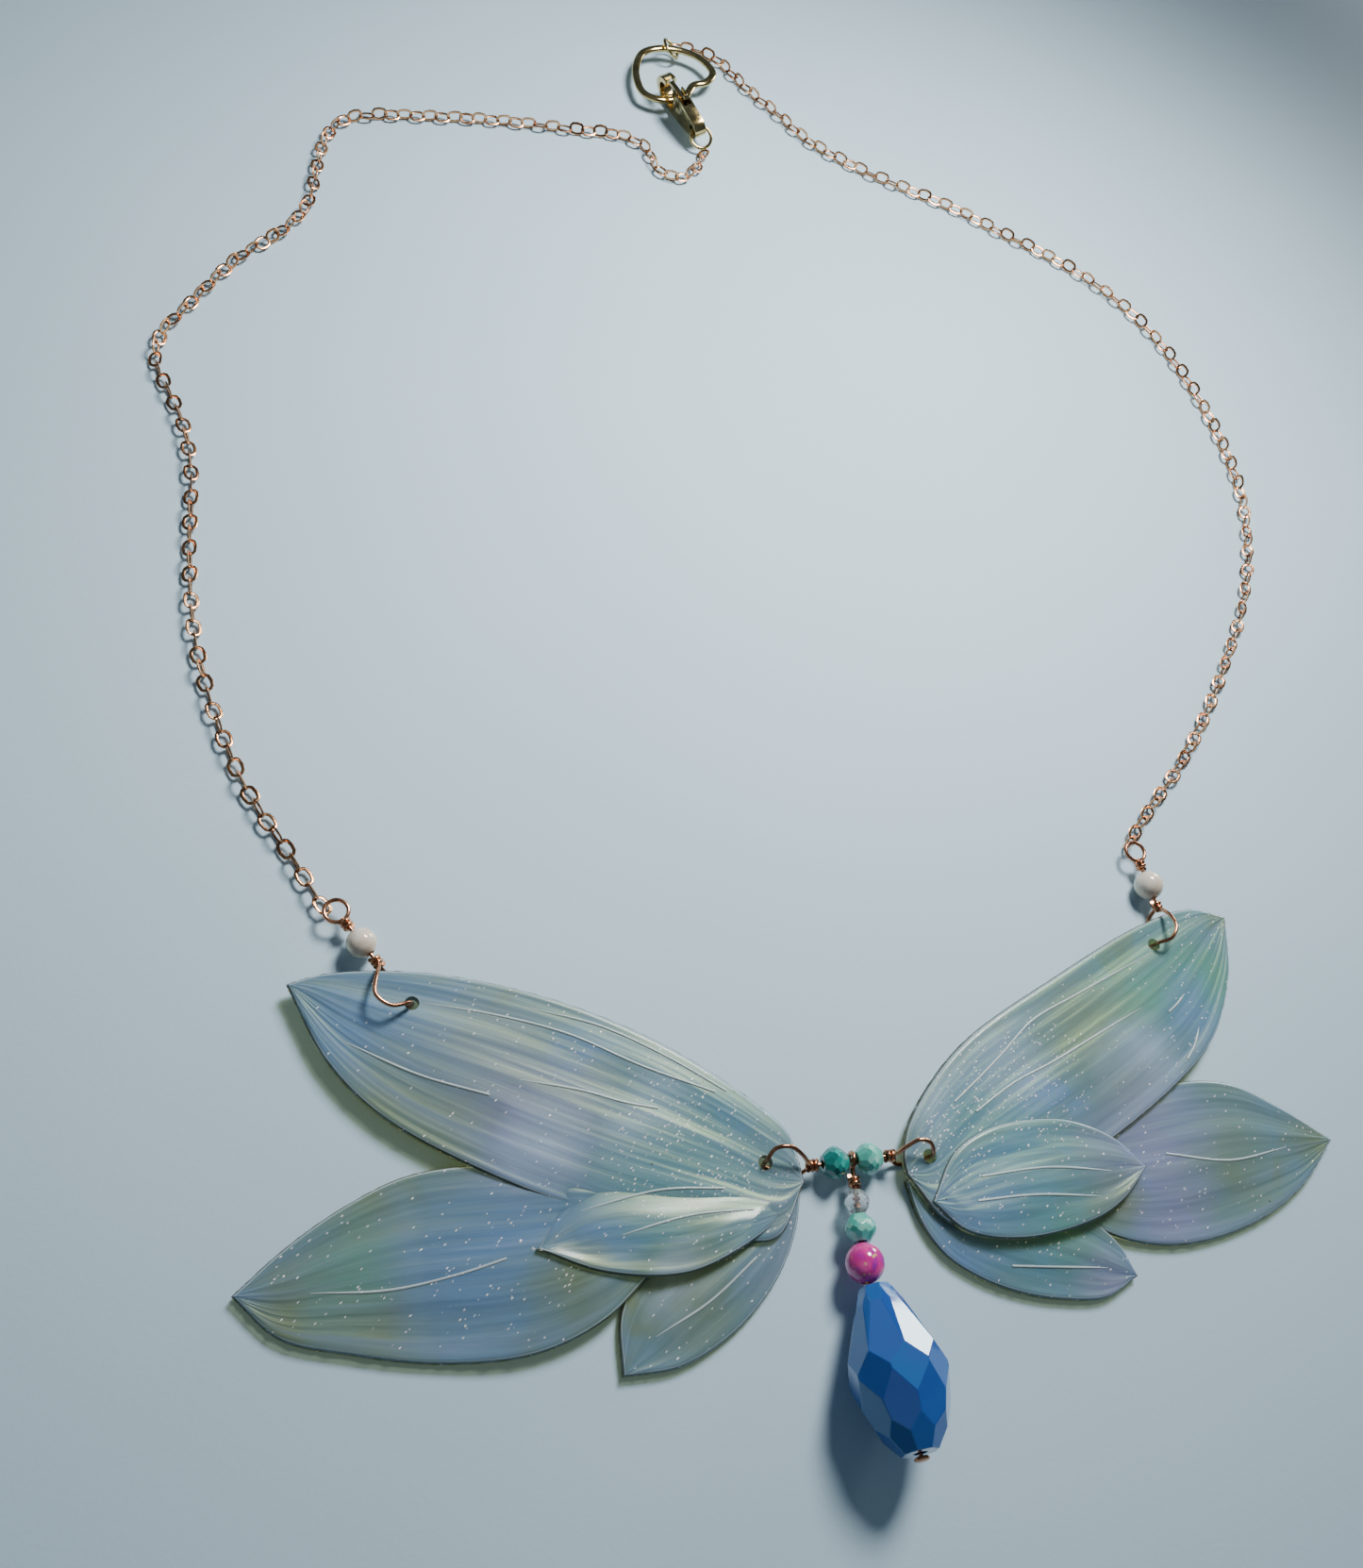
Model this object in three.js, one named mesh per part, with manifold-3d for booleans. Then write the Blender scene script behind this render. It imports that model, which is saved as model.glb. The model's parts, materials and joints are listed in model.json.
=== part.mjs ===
// A necklace with a pair of layered fairy wings, a beaded drop between them, and a fine chain that
// closes with a lobster clasp in a heart-shaped ring. It lies flat, face up, on a table.
// Millimetres. +X runs to the right along the wings, +Y from the drop towards the clasp, +Z up from the
// table. Places are first given from the point on the table under the middle of the connector, where
// the drop hangs, and the whole necklace is moved at the end so that its origin is at the bottom
// centre of the wings, beads and drop.
import * as THREE from 'three';
import { mergeVertices } from 'three/addons/utils/BufferGeometryUtils.js';
import Module from 'manifold-3d';

const wasm = await Module();
wasm.setup();

// ---- driving dimensions -------------------------------------------------------------------------

const TABLE_GAP = 0.05; // what lies on the table stays this far above it
const FIT_GAP = 0.3; // clear space between neighbouring pieces

const WIRE = 0.45; // diameter of the jewellery wire
const BEAD_HOLE = 0.9; // diameter of the hole through a bead
const BEND_HOLE = 1.2; // the wider hole of the two beads beside the pin's bend
const COIL_TURNS = 2.5; // turns of wire wrapped below each loop

const PETAL_THICKNESS = 1.25;
const UPPER_PETAL_LIFT = 1.0; // underside of the long upper petal above the table
const TOP_PETAL_LIFT = 1.8; // underside of the short petal that lies on top
const WING_HOLE = 1.8; // diameter of the two holes through each wing

const CONNECTOR_HEIGHT = 1.9; // axis of the connector wire above the table
const RONDELLE_DIAMETER = 3.4;
const RONDELLE_LENGTH = 2.7;
const RONDELLE_SPACE = 1.05; // space between the two rondelles, for the eye of the drop

const EYE_DIAMETER = 1.6; // to the middle of the wire, of the eye on the connector
const CLEAR_BEAD = { diameter: 2.6, length: 2.3 };
const AMAZONITE_BEAD = { diameter: 3.3, length: 2.7 };
const OPAL_DIAMETER = 4.0;
const TEARDROP_LENGTH = 15.2;
const TEARDROP_DIAMETER = 9.9;
const PIN_HEAD = 1.5; // diameter of the flat head under the teardrop
const PIN_HEAD_LENGTH = 0.4;
const UPPER_PIN_AIM = new THREE.Vector3(-0.125, -1, 0.1); // way of the wire through the small beads
const LOWER_PIN_AIM = new THREE.Vector3(-0.01, -1, 0.21); // way of the wire through the teardrop
const PIN_JOG = 0.6; // sideways bend of the pin between the opal and the teardrop

const LINK_LOOP = 2.5; // to the middle of the wire, of the loop between a pearl and the chain
const PEARL_HEIGHT = 1.8; // axis of a pearl's wire above the table

const CHAIN_DIAMETER = 1.7; // across the links
const CHAIN_SIDES = 8;

const HEART_BAND = 1.3; // width of the flat band of the heart ring
const HEART_THICKNESS = 0.9;
const RING_DIAMETER = 3.3; // to the middle of the wire, of the two rings at the clasp
const RING_WIRE = 0.5;

const LOBSTER_LENGTH = 12.0;
const LOBSTER_THICKNESS = 1.9;
const LEVER_THICKNESS = 0.7;
const HINGE_PIN = 0.7; // diameter of the lever's pin

// ---- colours ------------------------------------------------------------------------------------

const material = (color, roughness, metalness) =>
  new THREE.MeshStandardMaterial({ color, roughness, metalness });

const PETAL = material(0xc3d6cf, 0.35, 0.0);
const ROSE_GOLD = material(0xb87a5c, 0.25, 1.0);
const BRASS = material(0xb89a4c, 0.2, 1.0);
const STEEL = material(0xb9bcc0, 0.3, 1.0);
const TEAL = material(0x1fae9a, 0.2, 0.0);
const AMAZONITE = material(0x6cc4ae, 0.25, 0.0);
const CRYSTAL = material(0xdfe3e6, 0.05, 0.0);
const OPAL = material(0xd9489c, 0.15, 0.0);
const BLUE_GLASS = material(0x2f62b4, 0.08, 0.0);
const PEARL = material(0xf2ece0, 0.2, 0.0);

// ---- solids from three.js shapes ------------------------------------------------------------------

function solid(geometry) {
  const bare = geometry.clone();
  bare.deleteAttribute('normal');
  bare.deleteAttribute('uv');
  const merged = mergeVertices(bare, 1e-4);
  const mesh = new wasm.Mesh({
    numProp: 3,
    vertProperties: new Float32Array(merged.attributes.position.array),
    triVerts: new Uint32Array(merged.index.array),
  });
  return new wasm.Manifold(mesh);
}

function geometryOf(manifold) {
  const { vertProperties, triVerts } = manifold.getMesh();
  const geometry = new THREE.BufferGeometry();
  geometry.setAttribute('position', new THREE.BufferAttribute(vertProperties, 3));
  geometry.setIndex(new THREE.BufferAttribute(triVerts, 1));
  return geometry;
}

const joined = (geometries) =>
  geometries.map(solid).reduce((whole, piece) => whole.add(piece));

const cut = (body, cutters) =>
  cutters.map(solid).reduce((whole, cutter) => whole.subtract(cutter), body);

function circle(radius, sides) {
  const points = [];
  for (let i = 0; i < sides; i += 1) {
    const angle = ((i + 0.5) / sides) * 2 * Math.PI;
    points.push(new THREE.Vector2(radius * Math.cos(angle), radius * Math.sin(angle)));
  }
  return new THREE.Shape(points);
}

const tube = (path, diameter, steps, sides = 8) =>
  new THREE.ExtrudeGeometry(circle(diameter / 2, sides), { extrudePath: path, steps });

const slab = (shape, thickness, curveSegments = 3) =>
  new THREE.ExtrudeGeometry(shape, { depth: thickness, bevelEnabled: false, curveSegments });

// A rod along +Y from one place to another.
function rod(diameter, from, to, sides = 8) {
  const length = to - from;
  const geometry = new THREE.CylinderGeometry(diameter / 2, diameter / 2, length, sides);
  return geometry.translate(0, from + length / 2, 0);
}

// A helix round the Y axis, for the wrapped coils and the clasp's spring.
class Helix extends THREE.Curve {
  constructor({ from, turns, radius, pitch }) {
    super();
    Object.assign(this, { from, turns, radius, pitch });
  }
  getPoint(t, target = new THREE.Vector3()) {
    const angle = t * this.turns * 2 * Math.PI;
    const y = this.from + t * this.turns * this.pitch;
    return target.set(this.radius * Math.cos(angle), y, this.radius * Math.sin(angle));
  }
}

// A coil of wire wrapped tight on a straight wire.
const COIL_LENGTH = (COIL_TURNS + 1) * WIRE;
function coil(from) {
  const wrap = { from: from + WIRE / 2, turns: COIL_TURNS, radius: WIRE * 0.95, pitch: WIRE };
  return [
    tube(new Helix(wrap), WIRE, Math.round(COIL_TURNS * 9), 6),
    rod(WIRE * 1.9, from + WIRE / 2, from + COIL_LENGTH - WIRE / 2),
  ];
}

// A bead turned round the Y axis, with its hole, from [radius, place] pairs.
function bead(profile, sides, bore = BEAD_HOLE) {
  const hole = bore / 2;
  const first = profile[0];
  const last = profile[profile.length - 1];
  const outline = [
    new THREE.Vector2(hole, first[1]),
    ...profile.map(([radius, y]) => new THREE.Vector2(radius, y)),
    new THREE.Vector2(hole, last[1]),
    new THREE.Vector2(hole, first[1]),
  ];
  return new THREE.LatheGeometry(outline, sides);
}

function roundBead(diameter, steps, sides, bore = BEAD_HOLE) {
  const radius = diameter / 2;
  const lowest = -Math.acos((bore / 2 + 0.1) / radius);
  const profile = [];
  for (let i = 0; i <= steps; i += 1) {
    const angle = lowest * (1 - (2 * i) / steps);
    profile.push([radius * Math.cos(angle), radius * Math.sin(angle)]);
  }
  return bead(profile, sides, bore);
}

function rondelle(diameter, length, sides) {
  const radius = diameter / 2;
  return bead([
    [radius * 0.55, -length / 2],
    [radius * 0.9, -length * 0.27],
    [radius, 0],
    [radius * 0.9, length * 0.27],
    [radius * 0.55, length / 2],
  ], sides);
}

function node(name, geometry, finish) {
  const mesh = new THREE.Mesh(geometry, finish.clone());
  mesh.name = name;
  return mesh;
}

// Turns a group so that its own +Y points along aim and its own X stays level.
function aimed(group, aim) {
  const along = aim.clone().normalize();
  const level = new THREE.Vector3().crossVectors(along, new THREE.Vector3(0, 0, 1)).normalize();
  const facing = new THREE.Vector3().crossVectors(level, along);
  group.quaternion.setFromRotationMatrix(new THREE.Matrix4().makeBasis(level, along, facing));
  return group;
}

// ---- the wings ------------------------------------------------------------------------------------

// Each petal runs from its root, near the connector, over one edge to its tip and back over the other.
// x is counted outwards from the middle of the necklace, for both wings.
const LEFT_WING = {
  name: 'left_wing',
  side: -1,
  innerHole: [9.0, 0.8],
  outerHole: [43.1, 20.8],
  upper: {
    root: [5.2, -1.6],
    over: [[5.3, 0.6], [5.9, 3.6], [8.8, 7.0], [16.9, 13.7], [28.2, 19.9], [41.1, 24.0], [51.4, 24.8]],
    tip: [55.3, 24.0],
    under: [[51.8, 15.8], [47.0, 9.9], [38.5, 3.9], [27.0, -2.0], [15.0, -5.0]],
  },
  lower: {
    root: [14.0, -3.0],
    over: [[30.0, 3.0], [38.9, 4.2], [45.0, 3.9], [51.1, 1.6], [56.3, -1.4]],
    tip: [60.9, -4.9],
    under: [[56.9, -9.1], [50.8, -11.3], [42.5, -13.3], [34.0, -13.7], [27.3, -11.7], [22.0, -8.0]],
  },
  inner: {
    root: [5.6, -2.7],
    over: [[12.0, -4.6], [22.0, -7.2], [25.6, -11.2]],
    tip: [26.2, -16.8],
    under: [[20.7, -16.8], [16.3, -15.3], [12.4, -12.9], [8.8, -9.4], [6.5, -5.6]],
  },
  top: {
    root: [7.2, -4.0],
    over: [[11.5, -0.3], [17.0, 1.6], [27.6, 1.7]],
    tip: [33.2, -4.6],
    under: [[26.9, -7.6], [18.7, -8.7], [11.4, -6.4]],
  },
};

const RIGHT_WING = {
  name: 'right_wing',
  side: 1,
  innerHole: [9.0, -0.6],
  outerHole: [43.8, 20.4],
  upper: {
    root: [6.1, -2.2],
    over: [[6.1, -0.6], [7.2, 2.4], [11.0, 6.9], [17.0, 11.6], [29.4, 17.5], [43.4, 23.2], [50.8, 24.6]],
    tip: [55.0, 23.2],
    under: [[52.6, 15.8], [47.8, 8.8], [41.7, 4.3], [29.0, -2.0], [15.0, -5.0]],
  },
  lower: {
    root: [14.0, -3.0],
    over: [[32.0, 3.0], [41.7, 4.3], [48.2, 3.5], [53.5, 0.4]],
    tip: [59.2, -4.2],
    under: [[53.5, -8.6], [46.0, -11.7], [36.6, -12.9], [29.5, -11.5], [22.0, -7.0]],
  },
  inner: {
    root: [6.6, -3.4],
    over: [[13.0, -5.0], [24.0, -8.0], [28.4, -11.4]],
    tip: [29.8, -15.2],
    under: [[25.4, -16.8], [20.4, -16.3], [15.8, -15.0], [11.8, -13.0], [8.7, -10.4], [6.9, -7.0]],
  },
  top: {
    root: [8.0, -5.2],
    over: [[11.6, -0.6], [15.4, 1.3], [20.1, 2.0], [26.0, 1.4], [31.0, -1.2]],
    tip: [33.6, -4.6],
    under: [[29.8, -7.6], [25.5, -9.3], [17.2, -10.1], [11.0, -8.6]],
  },
};

function petal(side, { root, over, tip, under }) {
  const place = ([x, y]) => new THREE.Vector2(side * x, y);
  const outline = new THREE.Shape();
  outline.moveTo(side * root[0], root[1]);
  outline.splineThru([...over, tip].map(place));
  outline.splineThru([...under, root].map(place));
  return outline;
}

function wing(plan) {
  const layers = [
    [plan.lower, 0],
    [plan.inner, 0],
    [plan.upper, UPPER_PETAL_LIFT],
    [plan.top, TOP_PETAL_LIFT],
  ];
  const petals = layers.map(([shape, lift]) =>
    slab(petal(plan.side, shape), PETAL_THICKNESS, 2).translate(0, 0, lift));
  const holes = [plan.innerHole, plan.outerHole].map(([x, y]) =>
    slab(circle(WING_HOLE / 2, 16), 10).translate(plan.side * x, y, -1));
  return node(plan.name, geometryOf(cut(joined(petals), holes)), PETAL);
}

// ---- hooks: the open loops that go through the wings -----------------------------------------------

// A loop from the end of a coil over the wing, down through its hole and back under the wing.
// lean is how far the part over the wing stands off to one side, and dipLean the part below it.
function hook(start, hole, { rise, lean, dipLean }) {
  const dip = TABLE_GAP + WIRE / 2 + 0.05;
  const middle = UPPER_PETAL_LIFT + PETAL_THICKNESS / 2;
  const top = UPPER_PETAL_LIFT + PETAL_THICKNESS;
  const along = new THREE.Vector3(hole[0] - start.x, hole[1] - start.y, 0);
  const aside = new THREE.Vector3(-along.y, along.x, 0).normalize();
  const place = (share, off, z) =>
    start.clone().addScaledVector(along, share).addScaledVector(aside, off).setZ(z);
  const climb = rise - start.z;
  const route = new THREE.CatmullRomCurve3([
    place(-0.06, 0, start.z),
    place(0.07, lean * 0.1, start.z + climb * 0.3),
    place(0.25, lean * 0.5, start.z + climb * 0.72),
    place(0.56, lean, rise),
    place(0.88, lean * 0.8, rise - climb * 0.08),
    place(1.01, lean * 0.1, top + 0.95),
    place(1.0, 0, middle),
    place(0.95, 0, dip + 0.2),
    place(0.78, dipLean * 0.4, dip),
    place(0.42, dipLean, dip),
    place(0.2, dipLean, dip + 0.1),
    place(0.04, dipLean * 0.4, start.z - 0.8),
    place(-0.06, 0, start.z - 0.1),
  ]);
  return tube(route, WIRE, 34, 8);
}

// ---- the connector: one wire with a loop at each end, and two rondelles ------------------------------

const CONNECTOR_X = 0.4; // middle of the connector, from the middle of the necklace
const RONDELLE_PLACE = (RONDELLE_SPACE + RONDELLE_LENGTH) / 2;
const CONNECTOR_COIL = RONDELLE_PLACE + RONDELLE_LENGTH / 2 + FIT_GAP;
const CONNECTOR_END = CONNECTOR_COIL + COIL_LENGTH - WIRE;

function connectorEnd(side) {
  return new THREE.Vector3(CONNECTOR_X + side * CONNECTOR_END, 0, CONNECTOR_HEIGHT);
}

function connector() {
  const place = (geometry) =>
    geometry.rotateZ(-Math.PI / 2).translate(CONNECTOR_X, 0, CONNECTOR_HEIGHT);
  const wire = joined([
    place(rod(WIRE, -CONNECTOR_END, CONNECTOR_END)),
    ...coil(CONNECTOR_COIL).map(place),
    ...coil(-CONNECTOR_COIL - COIL_LENGTH).map(place),
    hook(connectorEnd(-1), [-LEFT_WING.innerHole[0], LEFT_WING.innerHole[1]],
      { rise: 4.3, lean: -1.3, dipLean: 0.7 }),
    hook(connectorEnd(1), RIGHT_WING.innerHole, { rise: 4.2, lean: 1.2, dipLean: -0.5 }),
  ]);
  const rondelles = [['teal_rondelle', -1, TEAL], ['amazonite_rondelle', 1, AMAZONITE]];
  return [
    node('connector_wire', geometryOf(wire), ROSE_GOLD),
    ...rondelles.map(([name, side, finish]) => {
      const mesh = node(name, rondelle(RONDELLE_DIAMETER, RONDELLE_LENGTH, 12), finish);
      mesh.rotation.z = -Math.PI / 2;
      mesh.position.set(CONNECTOR_X + side * RONDELLE_PLACE, 0, CONNECTOR_HEIGHT);
      return mesh;
    }),
  ];
}

// ---- the drop: a pin through four beads, hung on the connector --------------------------------------

const DROP_COIL = RONDELLE_DIAMETER * 0.275 + FIT_GAP * 1.5; // clear of the rondelles' ends
const CLEAR_PLACE = DROP_COIL + COIL_LENGTH + FIT_GAP * 0.5 + CLEAR_BEAD.length / 2;
const AMAZONITE_PLACE = CLEAR_PLACE + (CLEAR_BEAD.length + AMAZONITE_BEAD.length) / 2 + FIT_GAP * 0.5;
const OPAL_PLACE = AMAZONITE_PLACE + (AMAZONITE_BEAD.length + OPAL_DIAMETER) / 2 + FIT_GAP * 0.2;
const PIN_BEND = OPAL_PLACE + OPAL_DIAMETER / 2 + FIT_GAP * 0.2; // where the pin turns into the teardrop
const TEARDROP_START = FIT_GAP; // from the bend to the teardrop's narrow end
const PIN_EASE = 0.2; // the jog starts and ends this far inside the opal and the teardrop

function teardrop() {
  const radius = TEARDROP_DIAMETER / 2;
  const outline = [
    [0.3, 0],
    [0.58, 0.17],
    [0.84, 0.36],
    [1, 0.56],
    [0.94, 0.72],
    [0.7, 0.88],
    [0.34, 1],
  ];
  return bead(outline.map(([wide, far]) => [wide * radius, far * TEARDROP_LENGTH]), 12, BEND_HOLE);
}

function drop() {
  const eyeCentre = new THREE.Vector3(CONNECTOR_X, 0, CONNECTOR_HEIGHT);
  const upper = aimed(new THREE.Group(), UPPER_PIN_AIM);
  upper.position.copy(eyeCentre);
  const lower = aimed(new THREE.Group(), LOWER_PIN_AIM);
  lower.position.copy(UPPER_PIN_AIM).normalize().multiplyScalar(PIN_BEND).add(eyeCentre);
  lower.position.x += PIN_JOG;
  [upper, lower].forEach((group) => group.updateMatrix());

  const eye = new THREE.TorusGeometry(EYE_DIAMETER / 2, WIRE / 2, 8, 18).rotateY(Math.PI / 2);
  const pinEnd = TEARDROP_START + TEARDROP_LENGTH + FIT_GAP;
  const along = (group, place) => new THREE.Vector3(0, place, 0).applyMatrix4(group.matrix);
  const route = new THREE.CatmullRomCurve3([
    along(upper, EYE_DIAMETER / 2),
    along(upper, CLEAR_PLACE),
    along(upper, OPAL_PLACE),
    along(upper, PIN_BEND - PIN_EASE),
    along(lower, TEARDROP_START + PIN_EASE),
    along(lower, TEARDROP_LENGTH / 2),
    along(lower, pinEnd + PIN_HEAD_LENGTH / 2),
  ], false, 'centripetal');
  const pin = joined([
    eye.applyMatrix4(upper.matrix),
    tube(route, WIRE, 40),
    ...coil(DROP_COIL).map((piece) => piece.applyMatrix4(upper.matrix)),
    rod(PIN_HEAD, pinEnd, pinEnd + PIN_HEAD_LENGTH, 12).applyMatrix4(lower.matrix),
  ]);

  const clear = node('clear_bead', rondelle(CLEAR_BEAD.diameter, CLEAR_BEAD.length, 8), CRYSTAL);
  clear.position.y = CLEAR_PLACE;
  const amazonite = node('amazonite_bead',
    rondelle(AMAZONITE_BEAD.diameter, AMAZONITE_BEAD.length, 12), AMAZONITE);
  amazonite.position.y = AMAZONITE_PLACE;
  const opal = node('opal_bead', roundBead(OPAL_DIAMETER, 9, 16, BEND_HOLE), OPAL);
  opal.position.y = OPAL_PLACE;
  upper.add(clear, amazonite, opal);

  const tear = node('teardrop_bead', teardrop(), BLUE_GLASS);
  tear.position.y = TEARDROP_START;
  lower.add(tear);
  return [node('drop_pin', geometryOf(pin), ROSE_GOLD), upper, lower];
}

// ---- the pearl links between the wings and the chain -------------------------------------------------

const LINKS = [
  {
    name: 'left',
    diameter: 3.2,
    place: [-47.7, 27.9],
    aim: [0.54, -0.84],
    hole: [-LEFT_WING.outerHole[0], LEFT_WING.outerHole[1]],
    shape: { rise: 4.4, lean: -2.7, dipLean: 0.3 },
  },
  {
    name: 'right',
    diameter: 3.5,
    place: [46.1, 28.1],
    aim: [0.06, -1],
    hole: RIGHT_WING.outerHole,
    shape: { rise: 4.3, lean: 1.4, dipLean: -0.3 },
  },
];

const linkAim = ({ aim }) => new THREE.Vector3(aim[0], aim[1], 0).normalize();
const linkCoil = ({ diameter }) => diameter / 2 + FIT_GAP * 0.7;

function linkPoint(link, along) {
  const middle = new THREE.Vector3(link.place[0], link.place[1], PEARL_HEIGHT);
  return middle.addScaledVector(linkAim(link), along);
}

const linkEnd = (link) => linkPoint(link, linkCoil(link) + COIL_LENGTH - WIRE);
const linkLoop = (link) => linkPoint(link, -linkCoil(link) - COIL_LENGTH - LINK_LOOP / 2 + WIRE / 2);

function pearlLink(link) {
  const group = aimed(new THREE.Group(), linkAim(link));
  group.position.copy(linkPoint(link, 0));
  group.updateMatrix();
  const from = linkCoil(link);
  const to = from + COIL_LENGTH - WIRE;
  const loop = linkLoop(link);
  const wire = joined([
    rod(WIRE, -to - WIRE, to).applyMatrix4(group.matrix),
    ...[from, -from - COIL_LENGTH].flatMap(coil).map((piece) => piece.applyMatrix4(group.matrix)),
    new THREE.TorusGeometry(LINK_LOOP / 2, WIRE / 2, 8, 20).translate(loop.x, loop.y, loop.z),
    hook(linkEnd(link), link.hole, link.shape),
  ]);
  const pearl = node(link.name + '_pearl', roundBead(link.diameter, 8, 14), PEARL);
  pearl.position.copy(group.position);
  pearl.quaternion.copy(group.quaternion);
  return [node(link.name + '_pearl_wire', geometryOf(wire), ROSE_GOLD), pearl];
}

// ---- the clasp --------------------------------------------------------------------------------------

const HEART_HEIGHT = 2.05; // middle of the heart ring above the table, held up by the claw and the ring
// The middle of the heart's band, from its tip round the right lobe, the notch and the lower lobe.
const HEART_LINE = [
  [5.1, 179.4], [8.2, 180.9], [11.9, 180.8], [14.9, 179.1], [16.3, 176.0], [14.7, 173.3], [12.4, 172.2],
  [10.7, 169.7], [8.1, 168.1], [5.5, 167.8], [3.5, 169.1], [2.9, 172.0], [3.3, 175.8],
];
const HEART_STEPS = 44;

// The band's edge, grown outwards from its middle line.
function heartEdge(grow) {
  const line = new THREE.CatmullRomCurve3(
    HEART_LINE.map(([x, y]) => new THREE.Vector3(x, y, 0)), true, 'centripetal');
  const points = [];
  for (let i = 0; i < HEART_STEPS; i += 1) {
    const place = line.getPointAt(i / HEART_STEPS);
    const along = line.getTangentAt(i / HEART_STEPS);
    points.push(new THREE.Vector2(place.x - along.y * grow, place.y + along.x * grow));
  }
  return new THREE.Shape(points);
}

function heartRing() {
  const plate = (grow, thickness) =>
    slab(heartEdge(grow), thickness).translate(0, 0, HEART_HEIGHT - thickness / 2);
  const band = cut(solid(plate(HEART_BAND / 2, HEART_THICKNESS)), [plate(-HEART_BAND / 2, 4)]);
  return node('heart_ring', geometryOf(band), BRASS);
}

function ring(name, place, axis) {
  const mesh = node(name, new THREE.TorusGeometry(RING_DIAMETER / 2, RING_WIRE / 2, 8, 24), BRASS);
  mesh.quaternion.setFromUnitVectors(new THREE.Vector3(0, 0, 1), axis.normalize());
  mesh.position.copy(place);
  return mesh;
}

// The jump ring goes round the upper side of the heart and carries the end of the right chain.
const jumpRing = () =>
  ring('jump_ring', new THREE.Vector3(10.0, 181.1, 2.05), new THREE.Vector3(0.63, 0, 0.77));

// The lobster claw, flat in its own XY plane: eye at the origin, claw towards +Y, mouth towards +X.
const LOBSTER_EYE = new THREE.Vector3(10.9, 160.8, 2.65);
const LOBSTER_AIM = new THREE.Vector3(-0.335, 0.942, 0);
const LOBSTER_ROLL = 75; // degrees from lying flat
const LEVER_PIVOT = new THREE.Vector2(1.05, 4.9);
const CLAW = { x: 0, y: 8.5, half: 1.5, long: 0.9 }; // the space inside the claw
const MOUTH = { from: 6.6, to: 8.8 }; // the gap that the lever closes

function lobsterBody() {
  const outline = new THREE.Shape();
  outline.moveTo(0, -1.35);
  outline.splineThru([
    [1.2, -0.75], [1.75, 1.2], [2.25, 4.0], [2.35, 6.6], [2.3, 9.2], [1.55, 11.2], [0, LOBSTER_LENGTH],
    [-1.6, 11.2], [-2.4, 8.8], [-2.35, 6.0], [-2.0, 2.8], [-1.4, -0.4], [0, -1.35],
  ].map(([x, y]) => new THREE.Vector2(x, y)));
  const claw = new THREE.Shape();
  claw.absarc(CLAW.x, CLAW.y + CLAW.long, CLAW.half, 0, Math.PI);
  claw.absarc(CLAW.x, CLAW.y - CLAW.long, CLAW.half, Math.PI, 2 * Math.PI);
  const mouth = new THREE.Shape([
    new THREE.Vector2(0, MOUTH.from),
    new THREE.Vector2(4, MOUTH.from),
    new THREE.Vector2(4, MOUTH.to),
    new THREE.Vector2(0, MOUTH.to),
  ]);
  const slot = new THREE.Shape([
    new THREE.Vector2(-0.6, 3.3),
    new THREE.Vector2(4, 2.7),
    new THREE.Vector2(4, MOUTH.to + 1.0),
    new THREE.Vector2(1.0, MOUTH.to + 1.0),
    new THREE.Vector2(0.2, 7.0),
    new THREE.Vector2(-0.6, 6.4),
  ]);
  const slotWide = LEVER_THICKNESS + 2 * FIT_GAP;
  const centred = (shape, thickness, parts = 3) =>
    slab(shape, thickness, parts).translate(0, 0, -thickness / 2);
  const body = cut(solid(centred(outline, LOBSTER_THICKNESS, 2)), [
    centred(circle(0.8, 14), 6),
    centred(claw, 6, 7),
    centred(mouth, 6),
    centred(slot, slotWide),
    centred(circle(HINGE_PIN / 2 + 0.1, 12), 6).translate(LEVER_PIVOT.x, LEVER_PIVOT.y, 0),
  ]);
  return node('lobster_body', geometryOf(body), BRASS);
}

function lobsterLever() {
  const outline = new THREE.Shape([
    [-0.1, -0.75], [0.75, -0.95], [1.75, -1.5], [2.2, -1.2], [1.25, -0.1], [1.2, 1.4],
    [1.15, 3.7], [0.55, 3.8], [0.35, 2.0], [-0.35, 0.7], [-0.5, 0],
  ].map(([x, y]) => new THREE.Vector2(x, y)));
  const hole = circle(HINGE_PIN / 2 + 0.08, 12);
  outline.holes.push(new THREE.Path(hole.getPoints().reverse()));
  const plate = slab(outline, LEVER_THICKNESS).translate(0, 0, -LEVER_THICKNESS / 2);
  const mesh = node('lobster_lever', plate, BRASS);
  mesh.position.set(LEVER_PIVOT.x, LEVER_PIVOT.y, 0);
  return mesh;
}

function lobsterPin() {
  const shank = rod(HINGE_PIN, -LOBSTER_THICKNESS / 2, LOBSTER_THICKNESS / 2, 12);
  const mesh = node('lobster_pin', shank, BRASS);
  mesh.rotation.x = Math.PI / 2;
  mesh.position.set(LEVER_PIVOT.x, LEVER_PIVOT.y, 0);
  return mesh;
}

// The small spring behind the lever, as long as it is when pressed between the lever and the slot.
function lobsterSpring() {
  const helix = new Helix({ from: -0.4, turns: 3, radius: 0.38, pitch: 0.21 });
  const mesh = node('lobster_spring', tube(helix, 0.16, 30, 6), STEEL);
  mesh.rotation.z = -Math.PI / 2;
  mesh.position.set(0, LEVER_PIVOT.y + 0.75, 0);
  return mesh;
}

// The end ring goes through the lobster's eye and carries the end of the left chain.
const END_RING_REACH = RING_DIAMETER / 2 - 0.15; // from the eye to the middle of the ring
const END_RING_DROOP = THREE.MathUtils.degToRad(30);

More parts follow.
